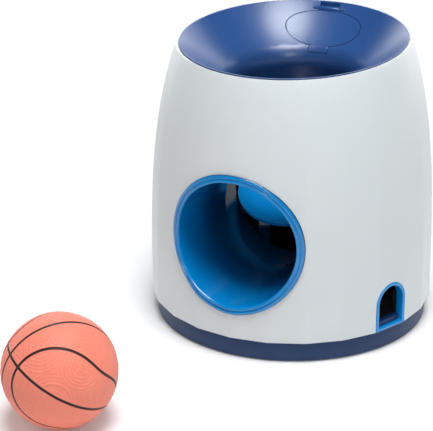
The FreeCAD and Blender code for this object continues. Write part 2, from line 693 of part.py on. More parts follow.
def dish_rib(side):
    """A rib from the axle forward under the dish, in place."""
    slope = math.tan(math.radians(DISH_TILT))
    low_z = AXLE_Z - 1
    back_y = AXLE_Y + HUB_R
    front_y = DISH_Y - RIB_REACH
    top_z = DISH_Z - DISH_RIM
    corners = [V(0, AXLE_Y - HUB_R, low_z), V(0, back_y, low_z)]
    for y in (back_y, front_y):
        corners.append(V(0, y, top_z + (y - DISH_Y) * slope))
    rib = Part.Face(Part.makePolygon(corners + corners[:1])).extrude(V(RIB_WALL, 0, 0))
    rib.translate(V(side * RIB_X - RIB_WALL / 2, 0, 0))
    return rib


def make_trigger_dish():
    inner_r = DISH_R - DISH_RIM
    section = [dish_line(0.0), dish_line(DISH_WALL)]
    section += path((inner_r, 0), (DISH_R, 0), (DISH_R, -DISH_WALL))
    section += path((0, -DISH_DEPTH), (0, -DISH_DEPTH - DISH_WALL))
    dish = dish_frame(spun(section))
    above = dish_frame(spun([dish_line(0.0)] + path((inner_r, 0), (inner_r, 60), (0, 60), (0, -DISH_DEPTH))))
    left = -BRACKET_INNER_X + CLEAR_GAP
    hub = rod(HUB_R, V(left, AXLE_Y, AXLE_Z), V(GEAR_X, AXLE_Y, AXLE_Z))
    for side in (-1, 1):
        hub = hub.fuse(dish_rib(side).cut(above))
    return dish.fuse(hub).cut(rod(AXLE_R, V(-FAR, AXLE_Y, AXLE_Z), V(FAR, AXLE_Y, AXLE_Z)))


def make_dish_axle():
    far = weight_span()[1]
    right = BRACKET_INNER_X + BEARING_WALL + BUSH_FLANGE + CLIP_THICKNESS + 1.5
    return rod(AXLE_R, V(-far - 1, AXLE_Y, AXLE_Z), V(right, AXLE_Y, AXLE_Z))


def weight_span():
    """How far out the counterweight starts and ends, past the bracket, its bush and the clip."""
    clip_end = BRACKET_INNER_X + BEARING_WALL + BUSH_FLANGE + CLIP_GAP + CLIP_THICKNESS
    near = clip_end + CLEAR_GAP + WEIGHT_HOLDER_WALL
    return near, near + WEIGHT_LENGTH


def weight_centre():
    return V(0, AXLE_Y + WEIGHT_ARM_Y, AXLE_Z + WEIGHT_ARM_Z)


def make_weight_arm():
    near, far = weight_span()
    start = V(-near + WEIGHT_HOLDER_WALL, 0, 0)
    end = V(-far, 0, 0)
    centre = weight_centre()
    axle = V(0, AXLE_Y, AXLE_Z)
    cup = rod(WEIGHT_R + WEIGHT_HOLDER_WALL, centre + end, centre + start)
    hub = rod(HUB_R, axle + end, axle + start)
    arm = box(end.x, start.x, AXLE_Y, centre.y - WEIGHT_R, AXLE_Z - WEIGHT_R * 0.7, AXLE_Z + HUB_R - 1)
    body = cup.fuse(hub).fuse(arm)
    body = body.cut(rod(WEIGHT_R + RUNNING_GAP, centre + end - V(1, 0, 0), centre - V(near, 0, 0)))
    return body.cut(rod(AXLE_R, axle - V(FAR, 0, 0), axle + V(FAR, 0, 0)))


def make_counterweight():
    near, far = weight_span()
    return rod(WEIGHT_R, weight_centre() - V(far, 0, 0), weight_centre() - V(near, 0, 0))


def tooth_edge(teeth, radius, side):
    """The angle of a tooth's flank from its middle, at a radius, for an involute tooth."""
    pressure = math.radians(20)
    pitch_r = GEAR_MODULE * teeth / 2
    base_r = pitch_r * math.cos(pressure)
    half = (math.pi * GEAR_MODULE / 2 - GEAR_BACKLASH) / (2 * pitch_r)
    lift = math.acos(min(1.0, base_r / max(radius, base_r)))
    spread = (math.tan(pressure) - pressure) - (math.tan(lift) - lift)
    return side * (half + spread)


def gear_wire(teeth, first, count, phase):
    """A gear outline in the plane across the axles; angles count from +Y towards +Z."""
    pitch_r = GEAR_MODULE * teeth / 2
    root_r = pitch_r - GEAR_DEDENDUM * GEAR_MODULE
    tip_r = pitch_r + GEAR_ADDENDUM * GEAR_MODULE
    base_r = max(root_r, pitch_r * math.cos(math.radians(20)))
    steps = [root_r, base_r, (base_r + pitch_r) / 2, pitch_r, (pitch_r + tip_r) / 2, tip_r]
    points = []
    for k in range(first, first + count):
        middle = phase + 2 * math.pi * k / teeth
        for r in steps:
            points.append((r, middle + tooth_edge(teeth, r, -1)))
        for r in reversed(steps):
            points.append((r, middle + tooth_edge(teeth, r, 1)))
    return [V(0, r * math.cos(a), r * math.sin(a)) for r, a in points]


def make_sector_gear():
    step = 2 * math.pi / SECTOR_TEETH
    phase = math.radians(MESH_ANGLE) + step / 2
    below = int(math.ceil(math.radians(SECTOR_STROKE) / step)) + SECTOR_MARGIN_TEETH
    outline = gear_wire(SECTOR_TEETH, -below, below + SECTOR_MARGIN_TEETH + 1, phase)
    plate = Part.Face(Part.makePolygon([V(0, 0, 0)] + outline + [V(0, 0, 0)])).extrude(V(GEAR_WIDTH, 0, 0))
    plate.translate(V(GEAR_X, AXLE_Y, AXLE_Z))
    hub = rod(HUB_R + 1, V(GEAR_X, AXLE_Y, AXLE_Z), V(BRACKET_INNER_X - CLEAR_GAP, AXLE_Y, AXLE_Z))
    return plate.fuse(hub).cut(rod(AXLE_R, V(-FAR, AXLE_Y, AXLE_Z), V(FAR, AXLE_Y, AXLE_Z)))


def make_drum_pinion():
    phase = math.radians(MESH_ANGLE) + math.pi
    outline = gear_wire(PINION_TEETH, 0, PINION_TEETH, phase)
    plate = Part.Face(Part.makePolygon(outline + outline[:1])).extrude(V(GEAR_WIDTH, 0, 0))
    plate.translate(V(GEAR_X, DRUM_Y, DRUM_Z))
    return plate.cut(rod(AXLE_R, V(-FAR, DRUM_Y, DRUM_Z), V(FAR, DRUM_Y, DRUM_Z)))


def make_metering_drum():
    drum = rod(DRUM_R, V(-DRUM_HALF_WIDTH, DRUM_Y, DRUM_Z), V(DRUM_HALF_WIDTH, DRUM_Y, DRUM_Z))
    pocket_half = DRUM_HALF_WIDTH - POCKET_END_WALL
    top = DRUM_Z + POCKET_OFFSET + POCKET_R * 0.2
    pocket = rod(POCKET_R, V(-pocket_half, DRUM_Y, top), V(pocket_half, DRUM_Y, top))
    keep = rod(AXLE_R + 1.5, V(-FAR, DRUM_Y, DRUM_Z), V(FAR, DRUM_Y, DRUM_Z))
    drum = drum.cut(pocket.cut(keep))
    return drum.cut(rod(AXLE_R, V(-FAR, DRUM_Y, DRUM_Z), V(FAR, DRUM_Y, DRUM_Z)))


def make_drum_axle():
    left = HOUSING_HALF_WIDTH + BUSH_FLANGE + CLIP_GAP + CLIP_THICKNESS + 1.5
    return rod(AXLE_R, V(-left, DRUM_Y, DRUM_Z), V(GEAR_X + GEAR_WIDTH + 1.5, DRUM_Y, DRUM_Z))


def bush(x, way, y, z):
    """A flanged bush in a wall whose inner face is at x, its flange on that face's side."""
    length = BEARING_WALL
    body = rod(BUSH_R, V(x, y, z), V(x + way * length, y, z))
    flange = rod(BUSH_FLANGE_R, V(x + way * length, y, z), V(x + way * (length + BUSH_FLANGE), y, z))
    return body.fuse(flange).cut(rod(AXLE_R + RUNNING_GAP, V(-FAR, y, z), V(FAR, y, z)))


def make_axle_bushes():
    bushes = []
    for way in (-1, 1):
        bushes.append(bush(way * BRACKET_INNER_X, way, AXLE_Y, AXLE_Z))
        bushes.append(bush(way * (HOUSING_HALF_WIDTH - BEARING_WALL), way, DRUM_Y, DRUM_Z))
    return bushes


def clip(x, y, z):
    """A snap ring on an axle, open on one side."""
    ring = tube(CLIP_R, AXLE_R, V(x, y, z), V(x + CLIP_THICKNESS, y, z))
    return ring.cut(box(x - 1, x + CLIP_THICKNESS + 1, y - AXLE_R * 0.6, y + AXLE_R * 0.6, z - CLIP_R, z))


def clip_pair(wall_x, y, z):
    """Two clips just outside the bush flanges on both sides."""
    near = wall_x + BUSH_FLANGE + CLIP_GAP
    return [clip(near, y, z), clip(-near - CLIP_THICKNESS, y, z)]


def make_bracket(side):
    low, high = sorted((side * BRACKET_INNER_X, side * (BRACKET_INNER_X + BEARING_WALL)))
    foot_low, foot_high = sorted((side * BRACKET_INNER_X, side * (BRACKET_INNER_X - BRACKET_FOOT)))
    front = AXLE_Y - BRACKET_HALF_DEPTH
    back = AXLE_Y + BRACKET_HALF_DEPTH
    plate = box(low, high, front, back, TRAY_FLOOR_Z, AXLE_Z)
    head = rod(BRACKET_HALF_DEPTH, V(low, AXLE_Y, AXLE_Z), V(high, AXLE_Y, AXLE_Z))
    foot = box(foot_low, foot_high, front, back, TRAY_FLOOR_Z, TRAY_FLOOR_Z + FIXING_FOOT)
    bracket = plate.fuse(head).fuse(foot)
    bracket = bracket.cut(rod(BUSH_R + RUNNING_GAP, V(-FAR, AXLE_Y, AXLE_Z), V(FAR, AXLE_Y, AXLE_Z)))
    return with_floor_holes(bracket)


def with_floor_holes(shape):
    """Cuts the clearance holes of the floor screws."""
    for spot in floor_screw_spots():
        start = spot + V(0, 0, TRAY_FLOOR_Z - 1)
        shape = shape.cut(rod(SCREW_SHANK_R + FIT_GAP, start, start + V(0, 0, FIXING_FOOT + 2)))
    return shape


def hopper_screw_spots():
    """Where the hopper is screwed to the housing, beside its walls."""
    out = HOUSING_HALF_WIDTH + HOUSING_BOSS_R
    return [V(-out, HOUSING_SCREW_Y, HOUSING_TOP_Z), V(out, HOUSING_SCREW_Y, HOUSING_TOP_Z)]


def make_drum_housing():
    half = HOUSING_HALF_WIDTH
    front = HOUSING_FRONT_Y
    housing = box(-half, half, front, front + HOUSING_WALL, HOUSING_BOTTOM_Z, HOUSING_TOP_Z)
    for side in (-1, 1):
        low, high = sorted((side * half, side * (half - BEARING_WALL)))
        wall = box(low, high, front, HOUSING_BACK_Y, HOUSING_BOTTOM_Z, HOUSING_TOP_Z)
        leg = box(low, high, front, front + HOUSING_LEG, TRAY_FLOOR_Z, HOUSING_BOTTOM_Z + 1)
        foot_low, foot_high = sorted((side * half, side * (half - BEARING_WALL - LEG_FOOT)))
        foot = box(foot_low, foot_high, front, front + HOUSING_LEG, TRAY_FLOOR_Z, TRAY_FLOOR_Z + FIXING_FOOT)
        housing = housing.fuse(wall).fuse(leg).fuse(foot)
    for spot in hopper_screw_spots():
        inner = V(math.copysign(half - 1, spot.x), spot.y, spot.z)
        boss = rod(HOUSING_BOSS_R, spot - V(0, 0, HOUSING_BOSS_HEIGHT), spot)
        x0, x1 = sorted((inner.x, spot.x))
        boss = boss.fuse(box(x0, x1, spot.y - HOUSING_BOSS_R, spot.y + HOUSING_BOSS_R,
                             spot.z - HOUSING_BOSS_HEIGHT, spot.z))
        housing = housing.fuse(boss)
        low = spot - V(0, 0, SMALL_SCREW_LENGTH)
        housing = housing.cut(rod(SCREW_SHANK_R + RUNNING_GAP, low, spot + V(0, 0, 1)))
    housing = housing.cut(rod(BUSH_R + RUNNING_GAP, V(-FAR, DRUM_Y, DRUM_Z), V(FAR, DRUM_Y, DRUM_Z)))
    return with_floor_holes(housing)


def hopper_ring(half_x, front_y, back_y, z):
    """One level of the hopper as a rectangle."""
    corners = [V(-half_x, front_y, z), V(half_x, front_y, z), V(half_x, back_y, z), V(-half_x, back_y, z)]
    return Part.makePolygon(corners + corners[:1])


def hopper_form(extra, low_z):
    """The hopper's hollow, or its outside when grown by the wall, from the drum up past the funnel."""
    outlet_x = HOPPER_OUTLET_HALF_WIDTH + extra
    outlet_y = HOPPER_OUTLET_HALF_DEPTH + extra
    top_x = HOPPER_HALF_WIDTH - HOPPER_WALL + extra
    top_front = HOPPER_FRONT_Y + HOPPER_WALL - extra
    top_back = HOPPER_BACK_Y - HOPPER_WALL + extra
    kink = hopper_ring(outlet_x, DRUM_Y - outlet_y, DRUM_Y + outlet_y, HOUSING_TOP_Z + HOPPER_FLANGE)
    wide = hopper_ring(top_x, top_front, top_back, HOPPER_WIDE_Z)
    low = hopper_ring(outlet_x, DRUM_Y - outlet_y, DRUM_Y + outlet_y, low_z)
    top = hopper_ring(top_x, top_front, top_back, RIM_Z + 10)
    parts = [Part.makeLoft([low, kink], True, True), Part.makeLoft([kink, wide], True, True),
             Part.makeLoft([wide, top], True, True)]
    return parts[0].fuse(parts[1]).fuse(parts[2])


def make_treat_hopper():
    half = HOUSING_HALF_WIDTH
    low = DRUM_Z + DRUM_R + CLEAR_GAP
    plate = box(-half, half, HOUSING_FRONT_Y, HOUSING_BACK_Y, HOUSING_TOP_Z, HOUSING_TOP_Z + HOPPER_FLANGE)
    for spot in hopper_screw_spots():
        x0, x1 = sorted((0.0, spot.x + math.copysign(HOUSING_BOSS_R, spot.x)))
        plate = plate.fuse(box(x0, x1, spot.y - HOUSING_BOSS_R, spot.y + HOUSING_BOSS_R,
                               HOUSING_TOP_Z, HOUSING_TOP_Z + HOPPER_FLANGE))
    hopper = hopper_form(HOPPER_WALL, low).fuse(plate).cut(hopper_form(0.0, low - 1))
    for spot in hopper_screw_spots():
        hopper = hopper.cut(rod(SCREW_SHANK_R + FIT_GAP, spot, spot + V(0, 0, 5)))
    hinge = box(-HINGE_ROOM, HINGE_ROOM, HINGE_RADIUS - 5, FLANGE_R + 3, -11, 5)
    hinge = turned(hinge, V(0, 0, 0), V(0, 0, 1), LID_TURN)
    skirt_r = FUNNEL_R - SKIRT_WALL - CLEAR_GAP
    skirt = tube(FLANGE_R + 2, skirt_r, V(0, 0, -SKIRT_DEPTH - CLEAR_GAP), V(0, 0, FAR / 4))
    for cutter in (bowl_plug(LEDGE_DEPTH + CLEAR_GAP), hinge, skirt):
        hopper = hopper.cut(in_funnel_frame(cutter))
    return hopper


def make_hopper_screws():
    screws = []
    for spot in hopper_screw_spots():
        fixing = turned(screw(V(0, 0, 0), SMALL_SCREW_LENGTH), V(0, 0, 0), V(1, 0, 0), 180)
        fixing.translate(spot + V(0, 0, HOPPER_FLANGE))
        screws.append(fixing)
    return screws


def chute_plane_box(lift):
    """Everything above the chute's sloping floor, moved up by a lift."""
    low_spot = polar(CHUTE_MIDDLE_R, PORT_ANGLE, CHUTE_LOW_Z + lift)
    high_spot = V(0, DRUM_Y, 0)
    way = math.degrees(math.atan2(high_spot.y - low_spot.y, high_spot.x - low_spot.x))
    slab = box(-FAR, FAR, -FAR, FAR, 0, FAR)
    slab.rotate(V(0, 0, 0), V(0, 1, 0), -CHUTE_SLOPE)
    slab.rotate(V(0, 0, 0), V(0, 0, 1), way)
    slab.translate(low_spot)
    return slab


def ring_sector(inner, outer, start, end):
    """A ring sector as tall as the housing between two angles."""
    face_points = [V(inner, 0, 0), V(outer, 0, 0), V(outer, 0, FAR / 4), V(inner, 0, FAR / 4)]
    face = Part.Face(Part.makePolygon(face_points + face_points[:1]))
    sector = face.revolve(V(0, 0, 0), V(0, 0, 1), end - start)
    return turned(sector, V(0, 0, 0), V(0, 0, 1), start)


def make_treat_chute():
    wall_angle = math.degrees(CHUTE_WALL / CHUTE_OUTER_R)
    block = ring_sector(CHUTE_INNER_R, CHUTE_OUTER_R, CHUTE_END_ANGLE, CHUTE_START_ANGLE)
    channel = ring_sector(CHUTE_INNER_R + CHUTE_WALL, CHUTE_OUTER_R - CHUTE_WALL,
                          CHUTE_END_ANGLE + wall_angle, CHUTE_START_ANGLE - wall_angle)
    floor_up = chute_plane_box(0.0)
    chute = block.cut(chute_plane_box(CHUTE_SIDE_HEIGHT)).common(chute_plane_box(-CHUTE_WALL))
    chute = chute.cut(channel.common(floor_up))
    below = chute_plane_box(-CHUTE_WALL / 2)
    for angle in CHUTE_POST_ANGLES:
        spot = polar(CHUTE_MIDDLE_R, angle, TRAY_FLOOR_Z)
        post = rod(CHUTE_POST_R, spot, spot + V(0, 0, FAR / 4)).cut(below)
        pilot = rod(SCREW_SHANK_R + RUNNING_GAP, spot, spot + V(0, 0, BASE_SCREW_LENGTH))
        chute = chute.fuse(post).cut(pilot)
    opening = port_prism(PORT_HALF_WIDTH - PORT_FRAME, PORT_SILL_Z - 1, PORT_TOP_Z,
                         CHUTE_OUTER_R - CHUTE_WALL - 1, FAR / 4)
    return chute.cut(opening.common(floor_up))


def make_treat_port():
    near = CHUTE_OUTER_R + CLEAR_GAP
    far = SHELL_CORNER_R * math.cos(PANEL_HALF) + PORT_PROUD
    frame = port_prism(PORT_HALF_WIDTH, SHELL_BOTTOM_Z, PORT_TOP_Z, near, far)
    half_width = PORT_HALF_WIDTH - PORT_FRAME
    return frame.cut(port_prism(half_width, PORT_SILL_Z, PORT_TOP_Z - PORT_FRAME, 0, FAR / 4))


def make_chamber_wall():
    half = BRACKET_INNER_X - BRACKET_FOOT - CLEAR_GAP
    back = CHAMBER_WALL_Y + CHAMBER_WALL_THICKNESS
    wall = box(-half, half, CHAMBER_WALL_Y, back, TRAY_FLOOR_Z, CHAMBER_WALL_TOP_Z)
    foot_half = CHAMBER_SCREW_X + CHAMBER_FOOT
    foot_top = TRAY_FLOOR_Z + FIXING_FOOT
    foot = box(-foot_half, foot_half, CHAMBER_WALL_Y, back + BRACKET_FOOT, TRAY_FLOOR_Z, foot_top)
    middle = box(-foot_half + 2 * CHAMBER_FOOT, foot_half - 2 * CHAMBER_FOOT, back, back + BRACKET_FOOT + 1,
                 TRAY_FLOOR_Z, foot_top)
    return with_floor_holes(wall.fuse(foot).cut(middle))


os.makedirs("parts", exist_ok=True)
save("shell", make_shell())
save("base_tray", make_base_tray())
save("rubber_feet", *make_rubber_feet())
save("base_screws", *make_base_screws())
save("floor_screws", *make_floor_screws())
save("funnel", make_funnel())
save("lid", make_lid())
save("lid_hinge_pin", make_lid_hinge_pin())
save("tunnel", make_tunnel())
save("ball_ramp", make_ball_ramp())
save("ball_guards", *make_ball_guards())
save("ball", make_ball())
save("trigger_dish", make_trigger_dish())
save("dish_axle", make_dish_axle())
save("dish_axle_clips", *clip_pair(BRACKET_INNER_X + BEARING_WALL, AXLE_Y, AXLE_Z))
save("weight_arm", make_weight_arm())
save("counterweight", make_counterweight())
save("sector_gear", make_sector_gear())
save("drum_pinion", make_drum_pinion())
save("metering_drum", make_metering_drum())
save("drum_axle", make_drum_axle())
save("drum_axle_clips", *clip_pair(HOUSING_HALF_WIDTH, DRUM_Y, DRUM_Z))
save("axle_bushes", *make_axle_bushes())
save("left_bracket", make_bracket(-1))
save("right_bracket", make_bracket(1))
save("drum_housing", make_drum_housing())
save("treat_hopper", make_treat_hopper())
save("hopper_screws", *make_hopper_screws())
save("treat_chute", make_treat_chute())
save("treat_port", make_treat_port())
save("chamber_wall", make_chamber_wall())
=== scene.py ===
# Dog puzzle toy: the finished look of every piece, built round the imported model.
# A new form is in millimetres until to_metres scales it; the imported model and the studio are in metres.
import math

import bmesh
import bpy
from bpy.props import FloatProperty, FloatVectorProperty, PointerProperty
from mathutils import Matrix, Vector
from mathutils.kdtree import KDTree


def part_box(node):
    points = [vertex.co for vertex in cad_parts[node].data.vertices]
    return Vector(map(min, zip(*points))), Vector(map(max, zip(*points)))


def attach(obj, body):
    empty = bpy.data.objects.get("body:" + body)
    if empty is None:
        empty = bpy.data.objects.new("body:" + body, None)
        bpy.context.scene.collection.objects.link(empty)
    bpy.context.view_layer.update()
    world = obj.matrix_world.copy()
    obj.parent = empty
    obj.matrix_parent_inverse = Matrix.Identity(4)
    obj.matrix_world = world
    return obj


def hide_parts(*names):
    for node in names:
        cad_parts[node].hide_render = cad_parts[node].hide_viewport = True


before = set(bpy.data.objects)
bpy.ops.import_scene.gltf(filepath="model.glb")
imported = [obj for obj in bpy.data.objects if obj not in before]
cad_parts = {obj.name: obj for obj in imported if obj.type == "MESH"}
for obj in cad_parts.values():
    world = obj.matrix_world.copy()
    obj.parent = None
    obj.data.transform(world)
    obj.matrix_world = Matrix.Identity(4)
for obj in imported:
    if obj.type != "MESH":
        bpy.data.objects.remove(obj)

bl_info = {
    "name": "Dog Puzzle Toy",
    "version": (1, 0, 0),
    "blender": (4, 5, 0),
    "location": "View3D > Sidebar > Puzzle Toy",
    "description": "Builds the ball-drop treat dispenser round its packed model",
    "category": "Add Mesh",
}

MM = 0.001
TURN = 2 * math.pi
GOLDEN_TURN = math.pi * (3 - math.sqrt(5))
ACROSS = Vector((1, 0, 0))
UP = Vector((0, 0, 1))

# What keeps only the level parts of a point, and only the parts seen from the front
LEVEL_PARTS = Vector((1, 1, 0))
FRONT_PARTS = Vector((1, 0, 1))

# Housing: flat panels whose corners fade out towards the round rim
PANEL_COUNT = 24
PANEL_HALF = math.pi / PANEL_COUNT
PANEL_COLUMNS = (-1.0, -0.94, -0.8, -0.42, 0.0, 0.42, 0.8, 0.94)
SHELL_LEVELS = 56
LEVEL_POWER = 0.9
SHELL_BOTTOM = 13.2
SHELL_CORNER_R = 85.4
SHELL_WALL = 1.8
SHELL_ROUNDING = 0.45
SHELL_EDGE_ANGLE = math.radians(40)
CORNER_SOFTNESS = 0.09
CORNER_SHARE = 0.015
RIM_Z = 170.7
RIM_R = 69.1
RIM_TILT = math.radians(4.1)
TILT_POWER = 2
TAPER_POWER = 3.2
WALL_ROUNDS = 12
FIT_GAP = 0.15

# Tunnel; the notch in its roof is the box between two corners
MOUTH_Z = 70.1
MOUTH_R = 37.0
MOUTH_LIP_R = 41.9
MOUTH_PLANES = 72
MOUTH_MARGIN = 14.0
TUNNEL_WALL = 1.8
TUNNEL_END_Y = -20.0
TUNNEL_END_Z = 69.4
TUNNEL_END_R = 35.0
TUNNEL_STEPS = 16
MOUTH_STEPS = 180
ROOF_NOTCH = ((-60.0, -37.0, 92.0), (60.0, 10.0, 130.0))

# The tunnel's lip. It starts narrower than the tunnel's outside and behind the wall, runs out along the
# wall over a gap, turns up its side and round its edge, and rolls back into the tunnel.
# The roll's points say how far from the tunnel's inside they lie, and how proud of the wall.
LIP_ROOT = (0.3, 3.0)
LIP_GAP = 0.2
LIP_CORNER = 0.1
LIP_SIDE = (0.35, 0.7)
LIP_ROUND = (1.6, 0.85)
LIP_ROUND_STEPS = 6
LIP_ROLL = ((3.05, 1.5), (2.8, 1.26), (2.62, 1.06), (2.45, 1.0), (2.28, 1.08), (2.05, 1.32), (1.75, 1.52),
            (1.4, 1.58), (1.05, 1.5), (0.7, 1.28), (0.4, 0.92), (0.2, 0.48), (0.06, -0.1), (0.0, -0.8))
LIP_EDGE = 0.5

# Treat port, and how far from it the housing is searched for faces to cut
PORT_ANGLE = math.radians(-22.5)
PORT_HALF_WIDTH = 11.8
PORT_TOP = 41.6
PORT_PLANES = 28
PORT_NEAR_R = 70.0
PORT_NEAR_SIDE = 26.0
PORT_NEAR_TOP = 8.0

# Base tray; the points of a rounding say how far inwards they lie, and how far from the end
TRAY_FOOT_R = 82.3
TRAY_TOP_R = 83.3
TRAY_BOTTOM = 0.6
TRAY_INNER_R = 79.3
TRAY_SPIGOT_R = 82.6
TRAY_SPIGOT_TOP = 18.2
TRAY_FLOOR = (2.6, 5.0)
TRAY_STEPS = 192
TRAY_FOOT_ROUND = ((0.8, 0.0), (0.25, 0.2), (0.0, 0.8))
TRAY_TOP_ROUND = ((0.04, 0.6), (0.25, 0.1), (0.55, 0.0))

# Ball: two straight seams and a wavy pair, whose angle from the side is a sum of waves in degrees.
# It is made from a cube with this many faces along each side.
BALL_R = 31.5
BALL_SIDE = 128
BALL_ROOT = Vector((-0.5157, -0.6951, 0.5009))
BALL_UP = Vector((0.4706, 0.2587, 0.8436))
BALL_SEAM_HALF = 0.95
BALL_SEAM_DEPTH = 0.5
SEAM_WAVE = ((55.3, 0.0), (6.1, 0.6), (12.6, 0.9), (-3.0, -1.2))
STEEP_LIMIT = 0.2
RING_FAMILIES = 20
RING_PITCH = 1.9
RING_DEPTH = 0.34
RING_BEADS = 3.4
BEAD_SHARE = 0.35

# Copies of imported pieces: how near points are merged, in metres, and which edges are flat or sharp
WELD = 2e-6
FLAT_ANGLE = math.radians(0.4)
EDGE_ANGLE = math.radians(28)

# Merging and cutting of new forms, in millimetres
SHEET_WELD = 1e-4
SHEET_CUT = 1e-5

# Moulded plastic: waves in each metre, and the shades of its colour
FLOW_WAVES = 34.0
STREAK_WAVES = 160.0
STREAK_STRETCH = (1.0, 1.0, 0.12)
SPECK_WAVES = 2600.0
DUSK_SHADE = 0.02
# The shade and share of the painted shadow along a joint
JOINT_SHADOW_SHADE = 0.1
JOINT_SHADOW_SHARE = 0.85
# The guards' plastic: the housing's, darkened as painted shade
GUARD_PAINTED_SHADE = 0.7
# The port frame's and dish's blue, made lighter as painted light
BLUE_PAINTED_LIGHT = 1.12

# Where light hardly reaches: an axis, where the dark starts and ends in millimetres, and how far it goes
TUNNEL_DUSK = ("Y", -66.0, -34.0, 0.68)
FUNNEL_DUSK = ("Z", 158.0, 138.0, 0.55)
GUARD_DUSK = ("X", -8.0, 8.0, 1.0)

# The sockets of a colour Mix node
MIX_SHARE, MIX_FIRST, MIX_SECOND, MIX_RESULT = 0, 6, 7, 2

# Studio lights: name, turn from the front and lift in degrees, distance and size in metres, watts
LIGHTS = (("Key light", 32.0, 74.0, 1.5, 0.75, 23.5), ("Front light", 30.0, 34.0, 1.8, 0.5, 4.0))
STUDIO_AIM = Vector((0, 0, 0.09))

# The room and the paper glow towards the back left: the way there, and where the glow starts and is full
ROOM_COLOUR = (0.95, 0.98, 1.0, 1.0)
ROOM_LIGHT = 0.1
BACKDROP_LIGHT = 2.8
GLOW_HEIGHT = (0.28, 0.52)
GLOW_WAY = (-0.35, 0.94)
GLOW_FADE = (0.4, 0.75)
PAPER_COLOUR = (0.82, 0.82, 0.82)
PAPER_GLOW = ((0.12, 0.12, 0.12), (1.6, 1.6, 1.6))
PAPER_WAY = (-0.45, 0.9)
PAPER_FADE = (0.2, 1.4)

# The backdrop's curve and height, as shares of the floor's width
BACKDROP_CURVE = 1 / 8
BACKDROP_HEIGHT = 1 / 3
BACKDROP_STEPS = 12

# Camera: degrees and metres, and in the photograph's pixels its focal length, its size and where the
# studio's aim shows
CAMERA_TURN, CAMERA_LIFT, CAMERA_ROLL = 26.7, 22.19, -0.385
CAMERA_AWAY = 1.03
FOCAL_PIXELS = 1710.4
PHOTO_SIZE = (433.0, 431.0)
AIM_PIXEL = (292.11, 166.29)
SENSOR_WIDTH = 36.0
NEAREST_SEEN = 0.01


class Wire:
    """One value on its way through a node tree; arithmetic on it adds the maths nodes."""

    def __init__(self, graph, socket):
        self.graph = graph
        self.socket = socket

    def maths(self, operation, *values):
        """The result of a Math node."""
        return self.graph.node("ShaderNodeMath", {"operation": operation}, dict(enumerate(values)))

    def __add__(self, other):
        return self.maths("ADD", self, other)

    def __sub__(self, other):
        return self.maths("SUBTRACT", self, other)

    def __rsub__(self, other):
        return self.maths("SUBTRACT", other, self)

    def __mul__(self, other):
        return self.maths("MULTIPLY", self, other)

    __radd__ = __add__
    __rmul__ = __mul__

    def ramp(self, start, end):
        """0 up to the start and 1 past the end, which may be the lower, with a soft change between."""
        settings = {"interpolation_type": "SMOOTHSTEP"}
        inputs = {"Value": self, "From Min": start, "From Max": end}
        return self.graph.node("ShaderNodeMapRange", settings, inputs)


class Graph:
    """A node tree in the making."""

    def __init__(self, tree):
        self.tree = tree

    def node(self, kind, settings=None, inputs=None, output=0):
        """Adds a node: its settings first, then the values or links of its sockets."""
        made = self.tree.nodes.new(kind)
        for key, value in (settings or {}).items():
            setattr(made, key, value)
        for key, value in (inputs or {}).items():
            if isinstance(value, Wire):
                self.tree.links.new(value.socket, made.inputs[key])
            else:
                made.inputs[key].default_value = value
        return Wire(self, made.outputs[output])

    def axis(self, vector, name):
        """One of a vector's three parts."""
        return self.node("ShaderNodeSeparateXYZ", inputs={"Vector": vector}, output=name)

    def reach(self, vector, way):
        """How far a vector goes along a level way, which is given by its two parts."""
        x, y = way
        return self.axis(vector, "X") * x + self.axis(vector, "Y") * y


class Finish(Graph):
    """A material in the making, its surface shader ready to be fed."""

    def __init__(self, name, **steady):
        self.material = bpy.data.materials.new(name)
        self.material.use_nodes = True
        super().__init__(self.material.node_tree)
        self.surface = self.tree.nodes["Principled BSDF"]
        for socket, value in steady.items():
            self.surface.inputs[socket.replace("_", " ")].default_value = value
        self.place = self.node("ShaderNodeTexCoord", output="Object")

    def feed(self, socket, wire):
        """Links a value to a socket of the surface shader."""
        self.tree.links.new(wire.socket, self.surface.inputs[socket])

    def blend(self, share, first, second):
        """A colour between two, by a share from 0 to 1."""
        first, second = (c if isinstance(c, Wire) else (*c[:3], 1.0) for c in (first, second))
        inputs = {MIX_SHARE: share, MIX_FIRST: first, MIX_SECOND: second}
        return self.node("ShaderNodeMix", {"data_type": "RGBA"}, inputs, MIX_RESULT)

    def noise(self, waves, detail=2.0, stretch=None):
        """Cloudy variation about 0.5, by its waves in each metre, drawn out along an axis by a stretch."""
        at = self.place
        if stretch:
            at = self.node("ShaderNodeMapping", inputs={"Vector": at, "Scale": stretch})
        return self.node("ShaderNodeTexNoise", inputs={"Vector": at, "Scale": waves, "Detail": detail})

    def painted(self, name):
        """The numbers that a piece's points carry under a name."""
        return self.node("ShaderNodeAttribute", {"attribute_name": name}, output="Fac")

    def relief(self, height, depth):
        """Small relief, its depth in millimetres."""
        inputs = {"Height": height, "Distance": depth * MM, "Strength": 1.0}
        self.feed("Normal", self.node("ShaderNodeBump", inputs=inputs))


def shade(colour, factor):
    """A colour made lighter or darker."""
    return tuple(min(c * factor, 1.0) for c in colour[:3])


def rgb(*parts):
    """A linear colour from screen values out of 255."""
    return tuple(((p / 255 + 0.055) / 1.055) ** 2.4 if p > 10 else p / 255 / 12.92 for p in parts)


